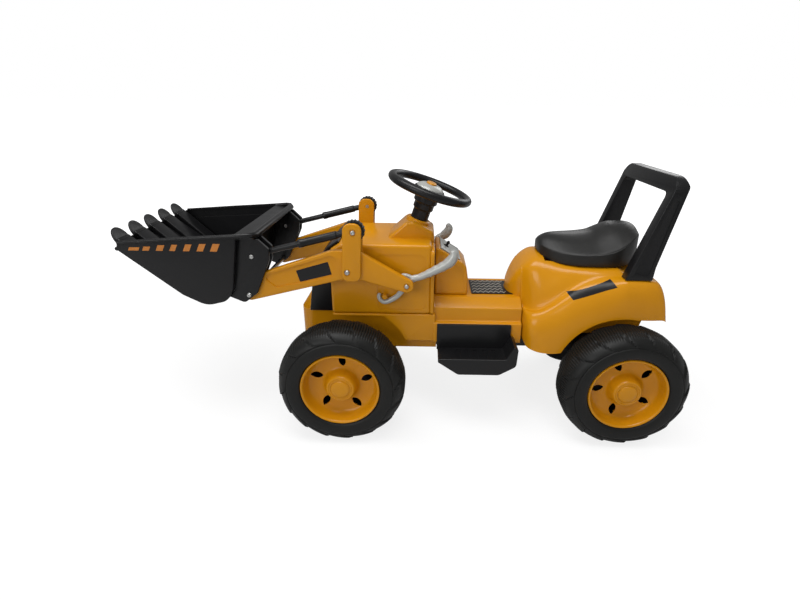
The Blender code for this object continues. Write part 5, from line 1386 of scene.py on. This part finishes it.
# %% Shell, bead and brackets
BUCKET = rounded([
    (-558, 402, 0), (-555, 418, 0), (-442, 425, 0), (-331, 432, 0), (-324, 432, 0), (-343, 318, 30),
    (-360, 296, 24), (-400, 286, 40), (-445, 309, 30),
], 10)
BRACKET = rounded([
    (-287, 424, 4), (-267, 404, 8), (-270, 378, 14), (-299, 311, 12), (-326, 290, 10),
    (-356, 303, 0), (-342, 330, 0), (-326, 424, 0), (-310, 430, 0),
], 8)
RIM_HALF = [
    (-553, 135.5, 417, 3.5), (-500, 135.5, 420.8, 3.5), (-440, 135.5, 425.5, 3.5), (-380, 135.5, 429.3, 3.7),
    (-331, 135.5, 432.5, 4), (-306, 135.0, 434, 4.7), (-297, 131, 433.4, 5.8), (-292, 121.5, 431.5, 6.8),
]
RIB = [(-559, 405), (-561, 421), (-557.5, 421), (-549, 414), (-468, 336), (-452, 318), (-462, 318)]


def make_bucket():
    shell = plate(BUCKET, -137, 137, "Y", 3.4, 4, 45)
    path = [(x, -y, z, r, r) for x, y, z, r in RIM_HALF] + [(x, y, z, r, r) for x, y, z, r in RIM_HALF[::-1]]
    flange = plate([(-331, 427), (-292, 426), (-292, 430), (-312, 430.5), (-331, 433)], -136, 136)
    lip = crossbar((-557, 404), -136, 136, 4, 28, 1.2)
    welded = [flange, swept(path, across=(0.05, 0.05, 1)), lip]
    for side in SIDES.values():
        welded += [layer(BRACKET, side, INNER_PLATE, 1.2, 2), layer(BRACKET, side, OUTER_PLATE, 1.6)]
    bm = worked(shell, welded, "UNION")
    inner = [(x, z + 40 if z > 404 else z) for x, z in inset(BUCKET, 4)]
    upper = plate([(-600, 396), (-600, 470), (-331, 470), (-331, 411), (-442, 404)], -134.8, 134.8)
    ledge = worked(upper, [plate(inset(BUCKET, 2.2), -140, 140)], "INTERSECT")
    bm = worked(bm, [plate(inner, -133, 133), ledge])
    slope = Vector((-18, 0, 30)).normalized()
    grown = []
    for index in range(5):
        y = (index - 2) * 54
        grown.append(tilted(plate(ellipse(26, 20), -2.5, 2.5, "Z", 1.8, 4), (-560.5, y, 416), slope))
        grown.append(plate(RIB, y - 17.5, y + 17.5, "Y", 1.8, 3, 40))
    bm = worked(bm, grown, "UNION")
    holes = ((ARM_TIP, SHAFT_HOLE), (LINK_FRONT, BOLT_HOLE))
    bm = worked(bm, [crossbar(place, -145, 145, radius) for place, radius in holes])
    finished(bm, "bucket_shell", black, "bucket", "bucket")


make_bucket()

# %% The orange dashes on the cheeks, as low end, high end and top
DASHES = (
    (-533.9, -511, 408.4), (-507, -490, 410.3), (-480.8, -462, 413.5), (-454.8, -437.6, 414.7),
    (-428.6, -409.5, 415.7), (-402.4, -382.5, 417.0), (-376.7, -355.5, 417.4),
)
DASH_FOOT = 402


def make_dashes():
    dashes = []
    for side in SIDES.values():
        for low, high, top in DASHES:
            lean = (top - DASH_FOOT) * 0.5
            outline = [(low, DASH_FOOT), (high - lean, DASH_FOOT), (high, top), (low + lean, top)]
            dashes.append(plate(outline, side * 136.6, side * 137.35))
    finished(gathered(dashes), "bucket_dashes", orange, "bucket", slot=slots["hood"], angle=30)


make_dashes()

# %% [markdown]
# ## The steering wheel
# A thick ring with a smaller radius on its inside, three flat spokes that swell into the
# boss, a grey hub cover and an oval yellow button that sounds the horn. All of it stands
# on a stepped black column that leans back by 19 degrees.

# %% Ring, spokes and boss
SPOKE = (
    (20, 9, 15, 4), (34, 7.6, 12.4, 3.4), (48, 5.4, 11, 3), (62, 3, 10.6, 3), (74, 1, 11, 3.6), (84, 0, 12, 4)
)
FORWARD = ACROSS.cross(LEAN)


def make_steering_wheel():
    ring = ellipse(9, 8.95, 28, (84, 0))
    bm = turned(ring[::-1], STEER, LEAN, 96, closed=True)
    boss = turned([
        (0, -1), (31.4, -1), (32.6, -1.6), (33.8, -5), (33.9, -6.4), (32.6, -9), (29, -15), (27, -16),
        (0, -16),
    ], STEER, LEAN, 64)
    spokes = []
    for angle in (0, 90, 180):
        turn = math.radians(angle)
        out = ACROSS * math.cos(turn) - FORWARD * math.sin(turn)
        side = LEAN.cross(out).normalized()
        path = [(*(STEER + out * reach - LEAN * drop), wide, high) for reach, drop, wide, high in SPOKE]
        spokes.append(swept(smooth_row(path, 3), across=side, sides=28, square=0.7))
    bm = worked(bm, [boss, *spokes], "UNION")
    bm = worked(bm, [bar(STEER - LEAN * 30, STEER - LEAN * 7, SHAFT_HOLE, 24)])
    finished(bm, "steering_ring", black, "steering", "steering_wheel", angle=45)


def oval(low, high, play, edge=0.0):
    """The horn button's oval on the hub, wider by play."""
    return tilted(plate(ellipse(11 + play, 16 + play), low, high, "Z", edge, 4), STEER, FORWARD)


make_steering_wheel()

# %% Hub cover, horn button and column
cover = turned([
    (0, 9), (8, 8.95), (16, 8.5), (20.5, 7.4), (24.5, 5.4), (27.6, 2.8), (29.4, 0.6), (30, -0.7), (0, -0.7)
], STEER, LEAN, 72)
finished(worked(cover, [oval(2, 20, 0.4)]), "hub_disc", silver, "steering", "hub_cover", angle=40)
finished(oval(5.5, 12, 0, 2.2), "horn_cap", yellow, "horn", "horn_button", angle=50)

column_foot = -(STEER.z - COLLAR_Z) / LEAN.z + 0.3
column = turned([
    (6, -17), (24.2, -17), (25, -17.8), (25.9, -30), (25.4, -31.6), (22.4, -34), (22, -35), (22, -45.4),
    (21.4, -46.8), (19.4, -48.6), (19, -50), (19, column_foot), (6, column_foot),
], STEER, LEAN, 72, closed=True)
grooves = []
for index in range(8):
    angle = math.tau * index / 8
    base = STEER + (ACROSS * math.cos(angle) + FORWARD * math.sin(angle)) * 27.4
    grooves.append(bar(base - LEAN * 35, base - LEAN * 15, 3.2, 16))
finished(worked(column, grooves), "column", black, "chassis", "column_sleeve")
